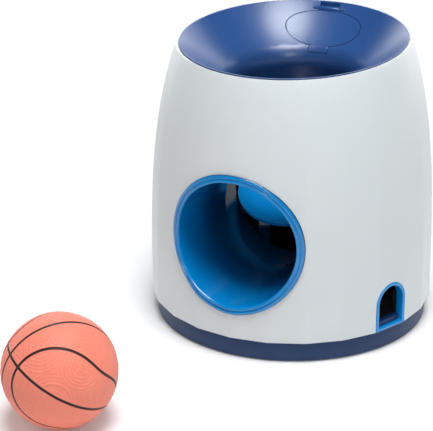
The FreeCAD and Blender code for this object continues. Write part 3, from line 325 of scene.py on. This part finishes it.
def moulded_plastic(name, colour, roughness, mottle, grain, coat=0.0, dusk=None, edge=""):
    """Injection-moulded plastic: faint flow clouds, a fine satin grain and rubbed streaks.

    The mottle is how far its colour strays, and the grain is its relief's depth in millimetres.
    Dusk paints shade where light hardly reaches: an axis, where that starts and ends in millimetres, and
    how far it goes. An edge names the numbers that paint a shadow along the joint with the next piece.
    """
    finish = Finish(name, Coat_Weight=coat, Coat_Roughness=0.25, IOR=1.47)
    clouds = finish.noise(FLOW_WAVES, 3.0)
    streaks = finish.noise(STREAK_WAVES, 4.0, STREAK_STRETCH).ramp(0.52, 0.75)
    speck = finish.noise(SPECK_WAVES, 1.0)
    tone = (clouds * 0.7 + speck * 0.3).ramp(0.25, 0.75)
    skin = finish.blend(tone, shade(colour, 1 - mottle), shade(colour, 1 + mottle))
    if dusk:
        axis, start, end, share = dusk
        deep = finish.axis(finish.place, axis).ramp(start * MM, end * MM)
        skin = finish.blend(deep * share, skin, shade(colour, DUSK_SHADE))
    if edge:
        # Painted shadow along the joint with the next piece
        skin = finish.blend(finish.painted(edge) * JOINT_SHADOW_SHARE, skin, shade(colour, JOINT_SHADOW_SHADE))
    finish.feed("Base Color", skin)
    finish.feed("Roughness", roughness - 0.05 + clouds * 0.06 + streaks * 0.05 + speck * 0.03)
    finish.relief(speck * 0.7 + clouds * 0.3, grain)
    return finish.material


def turned_steel(name, colour):
    """Drawn or turned steel: fine lines round the axis and a slight tarnish."""
    finish = Finish(name, Metallic=1.0)
    lines = finish.noise(900.0, 2.0, (6.0, 1.0, 1.0))
    tarnish = finish.noise(120.0, 3.0).ramp(0.35, 0.75)
    finish.feed("Base Color", finish.blend(tarnish, colour, shade(colour, 0.78)))
    finish.feed("Roughness", 0.22 + lines * 0.14 + tarnish * 0.08)
    finish.relief(lines, 0.01)
    return finish.material


def soft_rubber(name, colour):
    """Matt rubber for the feet, with dust in its pores."""
    finish = Finish(name, Sheen_Weight=0.15)
    pores = finish.noise(1500.0, 2.0)
    dust = finish.noise(90.0, 3.0).ramp(0.5, 0.8)
    finish.feed("Base Color", finish.blend(dust * 0.5, colour, shade(colour, 1.8)))
    finish.feed("Roughness", 0.68 + pores * 0.15)
    finish.relief(pores, 0.05)
    return finish.material


def ball_rubber(name, colour, line_colour):
    """Coral rubber with tooled rings and dark seam lines that follow the grooves."""
    finish = Finish(name, Sheen_Weight=0.08, IOR=1.45)
    seam = finish.painted("seam_distance")
    ring = finish.painted("ring_height")
    line = 1 - seam.ramp(0.6, 0.95)
    clouds = finish.noise(60.0, 3.0)
    pores = finish.noise(1400.0, 1.0)
    skin = finish.blend(clouds.ramp(0.3, 0.7), shade(colour, 0.96), shade(colour, 1.04))
    skin = finish.blend((1 - ring) * 0.42 * clouds, skin, shade(colour, 0.7))
    finish.feed("Base Color", finish.blend(line, skin, line_colour))
    finish.feed("Roughness", 0.5 + clouds * 0.12 + ring * 0.06)
    finish.relief(pores, 0.03)
    return finish.material


def studio_paper(name, colour):
    """Pale matt paper for the floor and backdrop, with a painted glow that grows towards the back."""
    finish = Finish(name, Emission_Strength=1.0)
    clouds = finish.noise(3.0, 2.0)
    back = finish.reach(finish.place, PAPER_WAY).ramp(*PAPER_FADE)
    # Painted glow: faint at the front, strong towards the back
    finish.feed("Emission Color", finish.blend(back, *PAPER_GLOW))
    finish.feed("Base Color", finish.blend(clouds, shade(colour, 0.985), colour))
    finish.feed("Roughness", 0.85 + clouds * 0.05)
    return finish.material


def finish_mesh(bm, name, material, body, nodes, sharp=35.0):
    """Turns a form in metres into a finished piece that rides on its body and replaces some nodes.

    An edge that bends by more than the sharp angle, in degrees, isn't smoothed.
    """
    mesh = bpy.data.meshes.new(name)
    bm.to_mesh(mesh)
    bm.free()
    piece = bpy.data.objects.new(name, mesh)
    bpy.context.collection.objects.link(piece)
    mesh.materials.append(material)
    mesh.shade_smooth()
    mesh.set_sharp_from_angle(angle=math.radians(sharp))
    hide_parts(*nodes)
    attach(piece, body)
    return piece


def to_metres(bm):
    """Scales a form from millimetres to metres."""
    bmesh.ops.scale(bm, vec=(MM, MM, MM), verts=bm.verts)


def softened(node, width, segments=2):
    """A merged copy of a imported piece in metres, its sharp edges rounded by a width in millimetres."""
    bm = bmesh.new()
    bm.from_mesh(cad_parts[node].data)
    bmesh.ops.remove_doubles(bm, verts=bm.verts, dist=WELD)
    bmesh.ops.dissolve_limit(bm, angle_limit=FLAT_ANGLE, verts=bm.verts, edges=bm.edges)
    sharp = [e for e in bm.edges if e.is_manifold and e.calc_face_angle() > EDGE_ANGLE]
    bmesh.ops.bevel(bm, geom=sharp, offset=width * MM, offset_type="OFFSET", segments=segments,
                    profile=0.5, affect="EDGES", clamp_overlap=True, material=-1)
    return bm


def spun(points, steps):
    """A line of (radius, height) points turned about the Z axis into a sheet, in millimetres."""
    # The spin operator orders its faces differently from run to run, so they are made one by one.
    bm = bmesh.new()
    lines = []
    for k in range(steps):
        out = Vector((math.cos(TURN * k / steps), math.sin(TURN * k / steps), 0))
        lines.append([bm.verts.new(out * r + UP * z) for r, z in points])
    for here, there in zip(lines, lines[1:] + lines[:1]):
        for k in range(len(points) - 1):
            bm.faces.new((here[k], there[k], there[k + 1], here[k + 1]))
    bmesh.ops.remove_doubles(bm, verts=bm.verts, dist=SHEET_WELD)
    bmesh.ops.recalc_face_normals(bm, faces=bm.faces)
    return bm


def cut_out(bm, faces, planes):
    """Cuts a sheet along planes, each a point and an outward normal, and removes what is inside them all."""
    for point, out in planes:
        # A dict keeps its order from run to run, and a set doesn't.
        geom = dict.fromkeys(faces)
        for face in faces:
            geom.update(dict.fromkeys([*face.edges, *face.verts]))
        cut = bmesh.ops.bisect_plane(bm, geom=list(geom), dist=SHEET_CUT, plane_co=point, plane_no=out)
        kept = [g for g in cut["geom"] if isinstance(g, bmesh.types.BMFace)]
        faces = [f for f in kept if (f.calc_center_median() - point).dot(out) < 0]
    bmesh.ops.delete(bm, geom=faces, context="FACES")


def round_planes(radius, centre, across, up, steps, end=TURN):
    """Planes that touch a circle from outside, given its two axes and how far round they go."""
    planes = []
    for k in range(steps):
        angle = end * (k + 0.5) / steps
        out = across * math.cos(angle) + up * math.sin(angle)
        planes.append((centre + out * radius, out))
    return planes


def wall_point(share, angle, offset=0.0):
    """A point on the housing's outside at a share of its height and an angle, grown by an offset."""
    radius = SHELL_CORNER_R - (SHELL_CORNER_R - RIM_R) * max(share, 0.0) ** TAPER_POWER + offset
    roundness = min(max(share, 0.0), 1.0)
    flat = math.cos(PANEL_HALF)
    middle = radius * (flat + (1 - flat) * roundness)
    local = (angle + math.pi / 2) % (2 * PANEL_HALF) - PANEL_HALF
    rise = (1 / math.cos(local) - 1) / (1 / flat - 1)
    reach = middle + (radius - middle) * rise
    corner = max(0.0, abs(local) / PANEL_HALF - (1 - CORNER_SHARE)) / CORNER_SHARE
    reach -= CORNER_SOFTNESS * corner * (1 - roundness)
    y = reach * math.sin(angle)
    height = SHELL_BOTTOM + share * (RIM_Z - SHELL_BOTTOM)
    tilt = y * math.tan(RIM_TILT) * max(share, 0.0) ** TILT_POWER
    return Vector((reach * math.cos(angle), y, height + tilt))


def front_wall(x, z, offset=0.0):
    """The point of the housing's front wall straight ahead of a place x, z, found in a few rounds."""
    height = RIM_Z - SHELL_BOTTOM
    y = -SHELL_CORNER_R
    share = (z - SHELL_BOTTOM) / height
    for _ in range(WALL_ROUNDS):
        point = wall_point(share, math.atan2(y, x), offset)
        share += (z - point.z) / height
        reach = math.hypot(point.x, point.y)
        y = -math.sqrt(max(reach ** 2 - x * x, 1.0))
    return Vector((x, y, z))


def cut_mouth(bm):
    """Cuts the tunnel's round hole in the front of the housing's skin."""
    middle = UP * MOUTH_Z
    hole_r = MOUTH_R + TUNNEL_WALL + 2 * FIT_GAP
    near = []
    for face in bm.faces:
        centre = face.calc_center_median()
        if centre.y < 0 and (centre * FRONT_PARTS - middle).length < hole_r + MOUTH_MARGIN:
            near.append(face)
    cut_out(bm, near, round_planes(hole_r, middle, ACROSS, UP, MOUTH_PLANES))


def cut_port(bm):
    """Cuts the treat port's arched hole in the side of the housing's skin."""
    out = Vector((math.cos(PORT_ANGLE), math.sin(PORT_ANGLE), 0))
    across = Vector((-out.y, out.x, 0))
    half = PORT_HALF_WIDTH + FIT_GAP
    crown = UP * (PORT_TOP - PORT_HALF_WIDTH)
    near = []
    for face in bm.faces:
        centre = face.calc_center_median()
        beside = abs(centre.dot(across)) < PORT_NEAR_SIDE
        if centre.dot(out) > PORT_NEAR_R and beside and centre.z < PORT_TOP + PORT_NEAR_TOP:
            near.append(face)
    planes = [(across * half, across), (across * -half, -across)]
    cut_out(bm, near, planes + round_planes(half, crown, across, UP, PORT_PLANES, math.pi))


def shell_sheet():
    """The housing's outer skin with its mouth and port cut out, in millimetres."""
    columns = PANEL_COUNT * len(PANEL_COLUMNS)
    bm = spun([(1.0, k) for k in range(SHELL_LEVELS + 1)], columns)
    for vert in bm.verts:
        turn = round((math.atan2(vert.co.y, vert.co.x) % TURN) / TURN * columns)
        panel, column = divmod(turn, len(PANEL_COLUMNS))
        angle = -math.pi / 2 + PANEL_HALF * (2 * panel + 1 + PANEL_COLUMNS[column])
        vert.co = wall_point((vert.co.z / SHELL_LEVELS) ** LEVEL_POWER, angle)
    bmesh.ops.recalc_face_normals(bm, faces=bm.faces)
    cut_mouth(bm)
    cut_port(bm)
    bm.normal_update()
    if sum(face.normal.dot(face.calc_center_median() * LEVEL_PARTS) for face in bm.faces) < 0:
        bmesh.ops.reverse_faces(bm, faces=bm.faces)
    return bm


def finish_wall(piece):
    """Gives the housing's skin its wall, inwards from the face, and rounds its edges."""
    wall = piece.modifiers.new("Wall", "SOLIDIFY")
    wall.thickness = SHELL_WALL * MM
    wall.offset = -1.0
    wall.use_even_offset = True
    bevel = piece.modifiers.new("Edge rounding", "BEVEL")
    bevel.width = SHELL_ROUNDING * MM
    bevel.segments = 3
    bevel.limit_method = "ANGLE"
    bevel.angle_limit = SHELL_EDGE_ANGLE
    bevel.use_clamp_overlap = True


def tray_line():
    """The base tray's section from the middle of its underside to the middle of its floor."""
    low, high = TRAY_FLOOR
    line = [(0.0, low), (TRAY_INNER_R, low), (TRAY_INNER_R, TRAY_BOTTOM)]
    line += [(TRAY_FOOT_R - inward, TRAY_BOTTOM + up) for inward, up in TRAY_FOOT_ROUND]
    line += [(TRAY_TOP_R - inward, SHELL_BOTTOM - down) for inward, down in TRAY_TOP_ROUND]
    line += [(TRAY_SPIGOT_R, SHELL_BOTTOM), (TRAY_SPIGOT_R, TRAY_SPIGOT_TOP)]
    return line + [(TRAY_INNER_R, TRAY_SPIGOT_TOP), (TRAY_INNER_R, high), (0.0, high)]


def ring_spots():
    """Evenly spread middles of the tooled rings, on a ball of radius 1."""
    spots = KDTree(RING_FAMILIES)
    for k in range(RING_FAMILIES):
        height = 1 - (2 * k + 1) / RING_FAMILIES
        turn = k * GOLDEN_TURN
        out = math.sqrt(1 - height * height)
        spots.insert(Vector((out * math.cos(turn), out * math.sin(turn), height)), k)
    spots.balance()
    return spots


def ring_height(way, spots):
    """How high the tooled rings stand in a direction from the ball's middle, from 0 to 1."""
    middle, _, reach = spots.find(way)
    reach *= BALL_R
    turn = math.atan2(way.cross(middle).x, way.cross(middle).y)
    beads = 1 - BEAD_SHARE + BEAD_SHARE * math.cos(turn * round(reach / RING_PITCH) * RING_BEADS)
    return (0.5 + 0.5 * math.cos(TURN * reach / RING_PITCH)) * beads


def seam_distance(way, root, side, up):
    """How far the nearest seam lies from a direction, in millimetres along the ball."""
    span = min(abs(math.asin(way.dot(up))), abs(math.asin(way.dot(side))))
    around = math.atan2(way.dot(up), way.dot(root))
    tilt = math.acos(max(-1.0, min(1.0, abs(way.dot(side)))))
    wave = 0.0
    slope = 0.0
    for k, (even, odd) in enumerate(SEAM_WAVE):
        wave += math.radians(even * math.cos(k * around) + odd * math.sin(k * around))
        slope += k * math.radians(odd * math.cos(k * around) - even * math.sin(k * around))
    steep = math.hypot(1.0, slope / max(math.sin(tilt), STEEP_LIMIT))
    return min(span, abs(tilt - wave) / steep) * BALL_R


def ball_form():
    """The ball with its grooves and rings, round its own centre in millimetres.

    Each point carries its distance from the seams and the height of the rings there.
    """
    bm = bmesh.new()
    bmesh.ops.create_cube(bm, size=2.0)
    bmesh.ops.subdivide_edges(bm, edges=bm.edges, cuts=BALL_SIDE - 1, use_grid_fill=True)
    spots = ring_spots()
    root = BALL_ROOT.normalized()
    up = (BALL_UP - root * BALL_UP.dot(root)).normalized()
    side = up.cross(root).normalized()
    spans = bm.verts.layers.float.new("seam_distance")
    rings = bm.verts.layers.float.new("ring_height")
    for vert in bm.verts:
        way = Vector([math.tan(c * math.pi / 4) for c in vert.co]).normalized()
        span = seam_distance(way, root, side, up)
        ring = ring_height(way, spots)
        groove = max(0.0, 1 - (span / BALL_SEAM_HALF) ** 2)
        # The rings fade in over the first millimetre beside a groove.
        fade = min(max(span - BALL_SEAM_HALF, 0.0), 1.0)
        vert[spans] = span
        vert[rings] = ring
        vert.co = way * (BALL_R - BALL_SEAM_DEPTH * groove - RING_DEPTH * (1 - ring) * fade)
    bmesh.ops.recalc_face_normals(bm, faces=bm.faces)
    return bm


def tunnel_profile():
    """The tunnel's closed section: how far from its axis, and how far from the wall or into the tunnel."""
    narrow, behind = LIP_ROOT
    lip = [(MOUTH_R + TUNNEL_WALL - narrow, "wall", -behind), (MOUTH_R + TUNNEL_WALL, "wall", LIP_GAP)]
    lip.append((MOUTH_LIP_R - LIP_CORNER, "wall", LIP_GAP))
    lip += [(MOUTH_LIP_R, "wall", proud) for proud in LIP_SIDE]
    inward, outward = LIP_ROUND
    for k in range(1, LIP_ROUND_STEPS + 1):
        angle = math.pi / 2 * k / LIP_ROUND_STEPS
        reach = MOUTH_LIP_R - inward * (1 - math.cos(angle))
        lip.append((reach, "wall", LIP_SIDE[-1] + outward * math.sin(angle)))
    lip += [(MOUTH_R + inset, "wall", proud) for inset, proud in LIP_ROLL]
    inside = [(0.0, "cone", k / TUNNEL_STEPS) for k in range(1, TUNNEL_STEPS + 1)]
    outside = [(TUNNEL_WALL, "cone", k / TUNNEL_STEPS) for k in range(TUNNEL_STEPS, 1, -1)]
    return lip + inside + outside


def tunnel_form():
    """The tunnel with its rolled lip, following the curved wall, in millimetres.

    The points of the lip's outer edge carry a painted shadow of the joint with the housing.
    """
    profile = tunnel_profile()
    bm = spun([(1.0, k) for k in range(len(profile))], MOUTH_STEPS)
    bmesh.ops.bridge_loops(bm, edges=[e for e in bm.edges if e.is_boundary])
    shadow = bm.verts.layers.float.new("edge_shadow")
    for vert in bm.verts:
        angle = math.atan2(vert.co.y, vert.co.x)
        reach, kind, amount = profile[round(vert.co.z)]
        if kind == "wall":
            # A painted shadow along the lip's outer edge, where it meets the housing
            vert[shadow] = min(max(1 - (MOUTH_LIP_R - reach) / LIP_EDGE, 0.0), 1.0)
            vert.co = front_wall(reach * math.cos(angle), MOUTH_Z + reach * math.sin(angle), amount)
            continue
        edge = front_wall(MOUTH_R * math.cos(angle), MOUTH_Z + MOUTH_R * math.sin(angle)).y
        y = edge + (TUNNEL_END_Y - edge) * amount
        back = (y + SHELL_CORNER_R) / (TUNNEL_END_Y + SHELL_CORNER_R)
        reach += MOUTH_R + (TUNNEL_END_R - MOUTH_R) * back
        middle = MOUTH_Z + (TUNNEL_END_Z - MOUTH_Z) * back
        vert.co = Vector((reach * math.cos(angle), y, middle + reach * math.sin(angle)))
    bmesh.ops.recalc_face_normals(bm, faces=bm.faces)
    return bm


def carved(bm, low, high):
    """A closed form with the box between two corners taken away, in millimetres."""
    block = bmesh.new()
    bmesh.ops.create_cube(block, size=1.0)
    bmesh.ops.scale(block, vec=Vector(high) - Vector(low), verts=block.verts)
    bmesh.ops.translate(block, vec=(Vector(high) + Vector(low)) / 2, verts=block.verts)
    pair = []
    for form in (bm, block):
        mesh = bpy.data.meshes.new("carving")
        form.to_mesh(mesh)
        form.free()
        pair.append(bpy.data.objects.new("carving", mesh))
        bpy.context.collection.objects.link(pair[-1])
    cut = pair[0].modifiers.new("Cut", "BOOLEAN")
    cut.operation = "DIFFERENCE"
    cut.solver = "EXACT"
    cut.object = pair[1]
    result = bmesh.new()
    result.from_object(pair[0], bpy.context.evaluated_depsgraph_get())
    for made in pair:
        mesh = made.data
        bpy.data.objects.remove(made)
        bpy.data.meshes.remove(mesh)
    return result


def lengthened(bm, edges, way):
    """Draws a sheet's edges out along a way, and gives the new edges."""
    made = bmesh.ops.extrude_edge_only(bm, edges=edges)["geom"]
    bmesh.ops.translate(bm, vec=way, verts=[g for g in made if isinstance(g, bmesh.types.BMVert)])
    return [g for g in made if isinstance(g, bmesh.types.BMEdge)]


def floor_sheet(width):
    """The studio's floor, which curves up into a backdrop at the back, in metres."""
    bm = bmesh.new()
    bmesh.ops.create_grid(bm, x_segments=1, y_segments=1, size=width / 2)
    far = [e for e in bm.edges if all(v.co.y > 0 for v in e.verts)]
    step = width * BACKDROP_CURVE * math.pi / 2 / BACKDROP_STEPS
    for k in range(1, BACKDROP_STEPS + 1):
        angle = math.pi / 2 * k / BACKDROP_STEPS
        far = lengthened(bm, far, Vector((0, math.cos(angle), math.sin(angle))) * step)
    lengthened(bm, far, UP * width * BACKDROP_HEIGHT)
    return bm


def way_from_front(turn, lift):
    """The direction of a light or camera, by its turn from the front and its lift in degrees."""
    turn, lift = math.radians(turn), math.radians(lift)
    return Vector((math.sin(turn) * math.cos(lift), -math.cos(turn) * math.cos(lift), math.sin(lift)))


def place_lights(context):
    """A soft key light high over the right front, and a smaller one lower down."""
    for name, turn, lift, away, size, energy in LIGHTS:
        light = bpy.data.lights.new(name, "AREA")
        light.shape = "DISK"
        light.size = size
        light.energy = energy * context.scene.toy_layout.light
        lamp = bpy.data.objects.new(name, light)
        context.collection.objects.link(lamp)
        way = way_from_front(turn, lift)
        lamp.location = STUDIO_AIM + way * away
        lamp.rotation_euler = (-way).to_track_quat("-Z", "Y").to_euler()


def light_room(context):
    """A dim room that glows low down at the back."""
    world = bpy.data.worlds.new("Studio room")
    world.use_nodes = True
    room = Graph(world.node_tree)
    way = room.node("ShaderNodeTexCoord", output="Generated")
    low = 1 - room.axis(way, "Z").ramp(*GLOW_HEIGHT)
    behind = room.reach(way, GLOW_WAY).ramp(*GLOW_FADE)
    glow = (low * behind * BACKDROP_LIGHT + ROOM_LIGHT) * context.scene.toy_layout.light
    background = world.node_tree.nodes["Background"]
    background.inputs["Color"].default_value = ROOM_COLOUR
    world.node_tree.links.new(glow.socket, background.inputs["Strength"])
    context.scene.world = world
    context.scene.view_settings.view_transform = "Standard"


def place_camera(context):
    """The camera at the photograph's viewing angle."""
    turn, roll = math.radians(CAMERA_TURN), math.radians(CAMERA_ROLL)
    back = way_from_front(CAMERA_TURN, CAMERA_LIFT)
    right = Vector((math.cos(turn), math.sin(turn), 0))
    up = back.cross(right)
    across = right * math.cos(roll) + up * math.sin(roll)
    over = up * math.cos(roll) - right * math.sin(roll)
    photo_w, photo_h = PHOTO_SIZE
    aim_x, aim_y = AIM_PIXEL
    x = (aim_x - photo_w / 2) / FOCAL_PIXELS * CAMERA_AWAY
    y = (photo_h / 2 - aim_y) / FOCAL_PIXELS * CAMERA_AWAY
    lens = bpy.data.cameras.new("Photo camera")
    lens.sensor_width = SENSOR_WIDTH
    lens.lens = FOCAL_PIXELS / photo_w * SENSOR_WIDTH
    lens.clip_start = NEAREST_SEEN
    camera = bpy.data.objects.new("Photo camera", lens)
    context.collection.objects.link(camera)
    facing = Matrix((across, over, back)).transposed().to_4x4()
    place = STUDIO_AIM + back * CAMERA_AWAY - across * x - over * y
    camera.matrix_world = Matrix.Translation(place) @ facing
    context.scene.camera = camera


class ToyColours(bpy.types.PropertyGroup):
    """The colours of the toy."""

    shell: FloatVectorProperty(name="Shell", description="Pale plastic of the housing", subtype="COLOR",
                               default=rgb(216, 223, 226), min=0, max=1)
    navy: FloatVectorProperty(name="Navy", description="Plastic of the funnel and lid", subtype="COLOR",
                              default=rgb(38, 80, 142), min=0, max=1)
    base: FloatVectorProperty(name="Base", description="Plastic of the base tray", subtype="COLOR",
                              default=rgb(2, 48, 96), min=0, max=1)
    blue: FloatVectorProperty(name="Blue", description="Plastic of the tunnel, ramp, dish and port",
                              subtype="COLOR", default=rgb(0, 129, 200), min=0, max=1)
    ball: FloatVectorProperty(name="Ball", description="Rubber of the ball", subtype="COLOR",
                              default=rgb(255, 142, 120), min=0, max=1)
    seam: FloatVectorProperty(name="Ball lines", description="Lines in the ball's grooves",
                              subtype="COLOR", default=rgb(40, 16, 22), min=0, max=1)
    inside: FloatVectorProperty(name="Inside", description="Dark plastic of the hidden pieces",
                                subtype="COLOR", default=rgb(38, 36, 38), min=0, max=1)


class ToyLayout(bpy.types.PropertyGroup):
    """The studio's size and light."""

    floor: FloatProperty(name="Floor width", description="Width of the studio floor", subtype="DISTANCE",
                         unit="LENGTH", default=4.0, min=1.0, max=20.0)
    light: FloatProperty(name="Light", description="Strength of the studio lights", default=1.0,
                         min=0.1, max=5.0)


class BuildShell(bpy.types.Operator):
    """Builds the pale housing"""

    bl_idname = "puzzle_toy.shell"
    bl_label = "Housing shell"

    def execute(self, context):
        colours = context.scene.toy_colours
        finish = moulded_plastic("Shell plastic", colours.shell, 0.36, mottle=0.012, grain=0.01)
        bm = shell_sheet()
        to_metres(bm)
        shell = finish_mesh(bm, "housing_shell", finish, "housing", ["shell"], sharp=60.0)
        finish_wall(shell)
        return {"FINISHED"}


class BuildBase(bpy.types.Operator):
    """Builds the navy base tray"""

    bl_idname = "puzzle_toy.base"
    bl_label = "Base tray"

    def execute(self, context):
        colours = context.scene.toy_colours
        finish = moulded_plastic("Navy base plastic", colours.base, 0.48, mottle=0.04, grain=0.012)
        bm = spun(tray_line(), TRAY_STEPS)
        to_metres(bm)
        finish_mesh(bm, "base_ring", finish, "housing", ["base_tray"])
        return {"FINISHED"}


class BuildFunnel(bpy.types.Operator):
    """Builds the navy funnel and its lid"""

    bl_idname = "puzzle_toy.funnel"
    bl_label = "Funnel and lid"

    def execute(self, context):
        colours = context.scene.toy_colours
        finish = moulded_plastic("Navy funnel plastic", colours.navy, 0.34, mottle=0.03, grain=0.01,
                                 coat=0.35, dusk=FUNNEL_DUSK)
        form = softened("funnel", 0.35)
        bowl = finish_mesh(form, "funnel_bowl", finish, "housing", ["funnel"])
        bowl.modifiers.new("Even shading", "WEIGHTED_NORMAL").keep_sharp = True
        finish_mesh(softened("lid", 0.25), "treat_flap", finish, "treat_lid", ["lid"])
        return {"FINISHED"}


class BuildTunnel(bpy.types.Operator):
    """Builds the blue tunnel, its ramp, the treat port and the dish"""

    bl_idname = "puzzle_toy.tunnel"
    bl_label = "Tunnel, ramp, port and dish"

    def execute(self, context):
        blue = context.scene.toy_colours.blue
        # The lip's plastic carries the painted shadow of its joint with the housing, and painted shade
        # deeper in the tunnel
        lip = moulded_plastic("Blue tunnel plastic", blue, 0.14, mottle=0.03, grain=0.006, coat=0.5,
                              dusk=TUNNEL_DUSK, edge="edge_shadow")
        deep = moulded_plastic("Blue ramp plastic", blue, 0.2, mottle=0.03, grain=0.006, coat=0.3,
                               dusk=TUNNEL_DUSK)
        # The port frame and the dish take the blue made lighter: painted light where light falls on them
        light = moulded_plastic("Blue plastic with painted light", shade(blue, BLUE_PAINTED_LIGHT), 0.16, mottle=0.03,
                                grain=0.006, coat=0.5)
        bm = carved(tunnel_form(), *ROOF_NOTCH)
        to_metres(bm)
        finish_mesh(bm, "ball_tunnel", lip, "housing", ["tunnel"])
        ramp = softened("ball_ramp", 0.4)
        finish_mesh(ramp, "ball_trough", deep, "housing", ["ball_ramp"])
        port = softened("treat_port", 0.5, segments=3)
        finish_mesh(port, "port_frame", light, "housing", ["treat_port"])
        dish = softened("trigger_dish", 0.6, segments=3)
        finish_mesh(dish, "tipping_dish", light, "trigger", ["trigger_dish"])
        return {"FINISHED"}


class BuildBall(bpy.types.Operator):
    """Builds the rubber ball"""

    bl_idname = "puzzle_toy.ball"
    bl_label = "Ball"

    def execute(self, context):
        colours = context.scene.toy_colours
        finish = ball_rubber("Ball rubber", colours.ball, colours.seam)
        low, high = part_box("ball")
        bm = ball_form()
        to_metres(bm)
        bmesh.ops.translate(bm, vec=(Vector(low) + Vector(high)) / 2, verts=bm.verts)
        finish_mesh(bm, "rubber_ball", finish, "loose_ball", ["ball"], sharp=80.0)
        return {"FINISHED"}


class DressWorks(bpy.types.Operator):
    """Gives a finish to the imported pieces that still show"""

    bl_idname = "puzzle_toy.works"
    bl_label = "Inner works"

    def execute(self, context):
        colours = context.scene.toy_colours
        # The ball guards are the housing's pale plastic painted darker as shade, and painted near black
        # towards +X
        guard_with_painted_shade = shade(colours.shell, GUARD_PAINTED_SHADE)
        looks = {
            "dark_plastic": moulded_plastic("Dark inner plastic", colours.inside, 0.45, 0.06, 0.03),
            "gear_plastic": moulded_plastic("Gear plastic", rgb(226, 222, 208), 0.4, 0.02, 0.02),
            "bush_plastic": moulded_plastic("Bush plastic", rgb(196, 188, 164), 0.42, 0.03, 0.02),
            "axle_steel": turned_steel("Axle steel", rgb(176, 178, 182)),
            "screw_steel": turned_steel("Screw steel", rgb(150, 152, 156)),
            "foot_rubber": soft_rubber("Foot rubber", rgb(34, 34, 36)),
            "shell_plastic": moulded_plastic("Guard plastic with painted shade", guard_with_painted_shade, 0.4, 0.015, 0.012, dusk=GUARD_DUSK),
        }
        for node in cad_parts.values():
            if node.hide_render:
                continue
            slot = node.data.materials[0].name
            # The blue chute lies in the dark behind the port, and takes the dark look.
            look = looks.get(slot, looks["dark_plastic"])
            node.data.materials.clear()
            node.data.materials.append(look)
        return {"FINISHED"}


class BuildStage(bpy.types.Operator):
    """Builds the pale floor, the lights and the camera"""

    bl_idname = "puzzle_toy.stage"
    bl_label = "Studio"

    def execute(self, context):
        bm = floor_sheet(context.scene.toy_layout.floor)
        mesh = bpy.data.meshes.new("studio_floor")
        bm.to_mesh(mesh)
        bm.free()
        floor = bpy.data.objects.new("studio_floor", mesh)
        context.collection.objects.link(floor)
        mesh.materials.append(studio_paper("Studio paper", PAPER_COLOUR))
        mesh.shade_smooth()
        place_lights(context)
        light_room(context)
        place_camera(context)
        return {"FINISHED"}


class ToyPanel(bpy.types.Panel):
    """Lists the toy's colours, its studio and its pieces in the sidebar"""

    bl_idname = "VIEW3D_PT_puzzle_toy"
    bl_label = "Puzzle Toy"
    bl_space_type = "VIEW_3D"
    bl_region_type = "UI"
    bl_category = "Puzzle Toy"

    def draw(self, context):
        for group in (context.scene.toy_colours, context.scene.toy_layout):
            for name in group.__annotations__:
                self.layout.prop(group, name)
        for operator in OPERATORS:
            self.layout.operator(operator.bl_idname)


OPERATORS = (BuildStage, BuildShell, BuildBase, BuildFunnel, BuildTunnel, BuildBall, DressWorks)
CLASSES = (ToyColours, ToyLayout, *OPERATORS, ToyPanel)


def register():
    for cls in CLASSES:
        bpy.utils.register_class(cls)
    bpy.types.Scene.toy_colours = PointerProperty(type=ToyColours)
    bpy.types.Scene.toy_layout = PointerProperty(type=ToyLayout)


def unregister():
    del bpy.types.Scene.toy_layout
    del bpy.types.Scene.toy_colours
    for cls in reversed(CLASSES):
        bpy.utils.unregister_class(cls)


def main():
    register()
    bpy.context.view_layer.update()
    for operator in OPERATORS:
        family, name = operator.bl_idname.split(".")
        getattr(getattr(bpy.ops, family), name)()


if __name__ == "__main__":
    main()
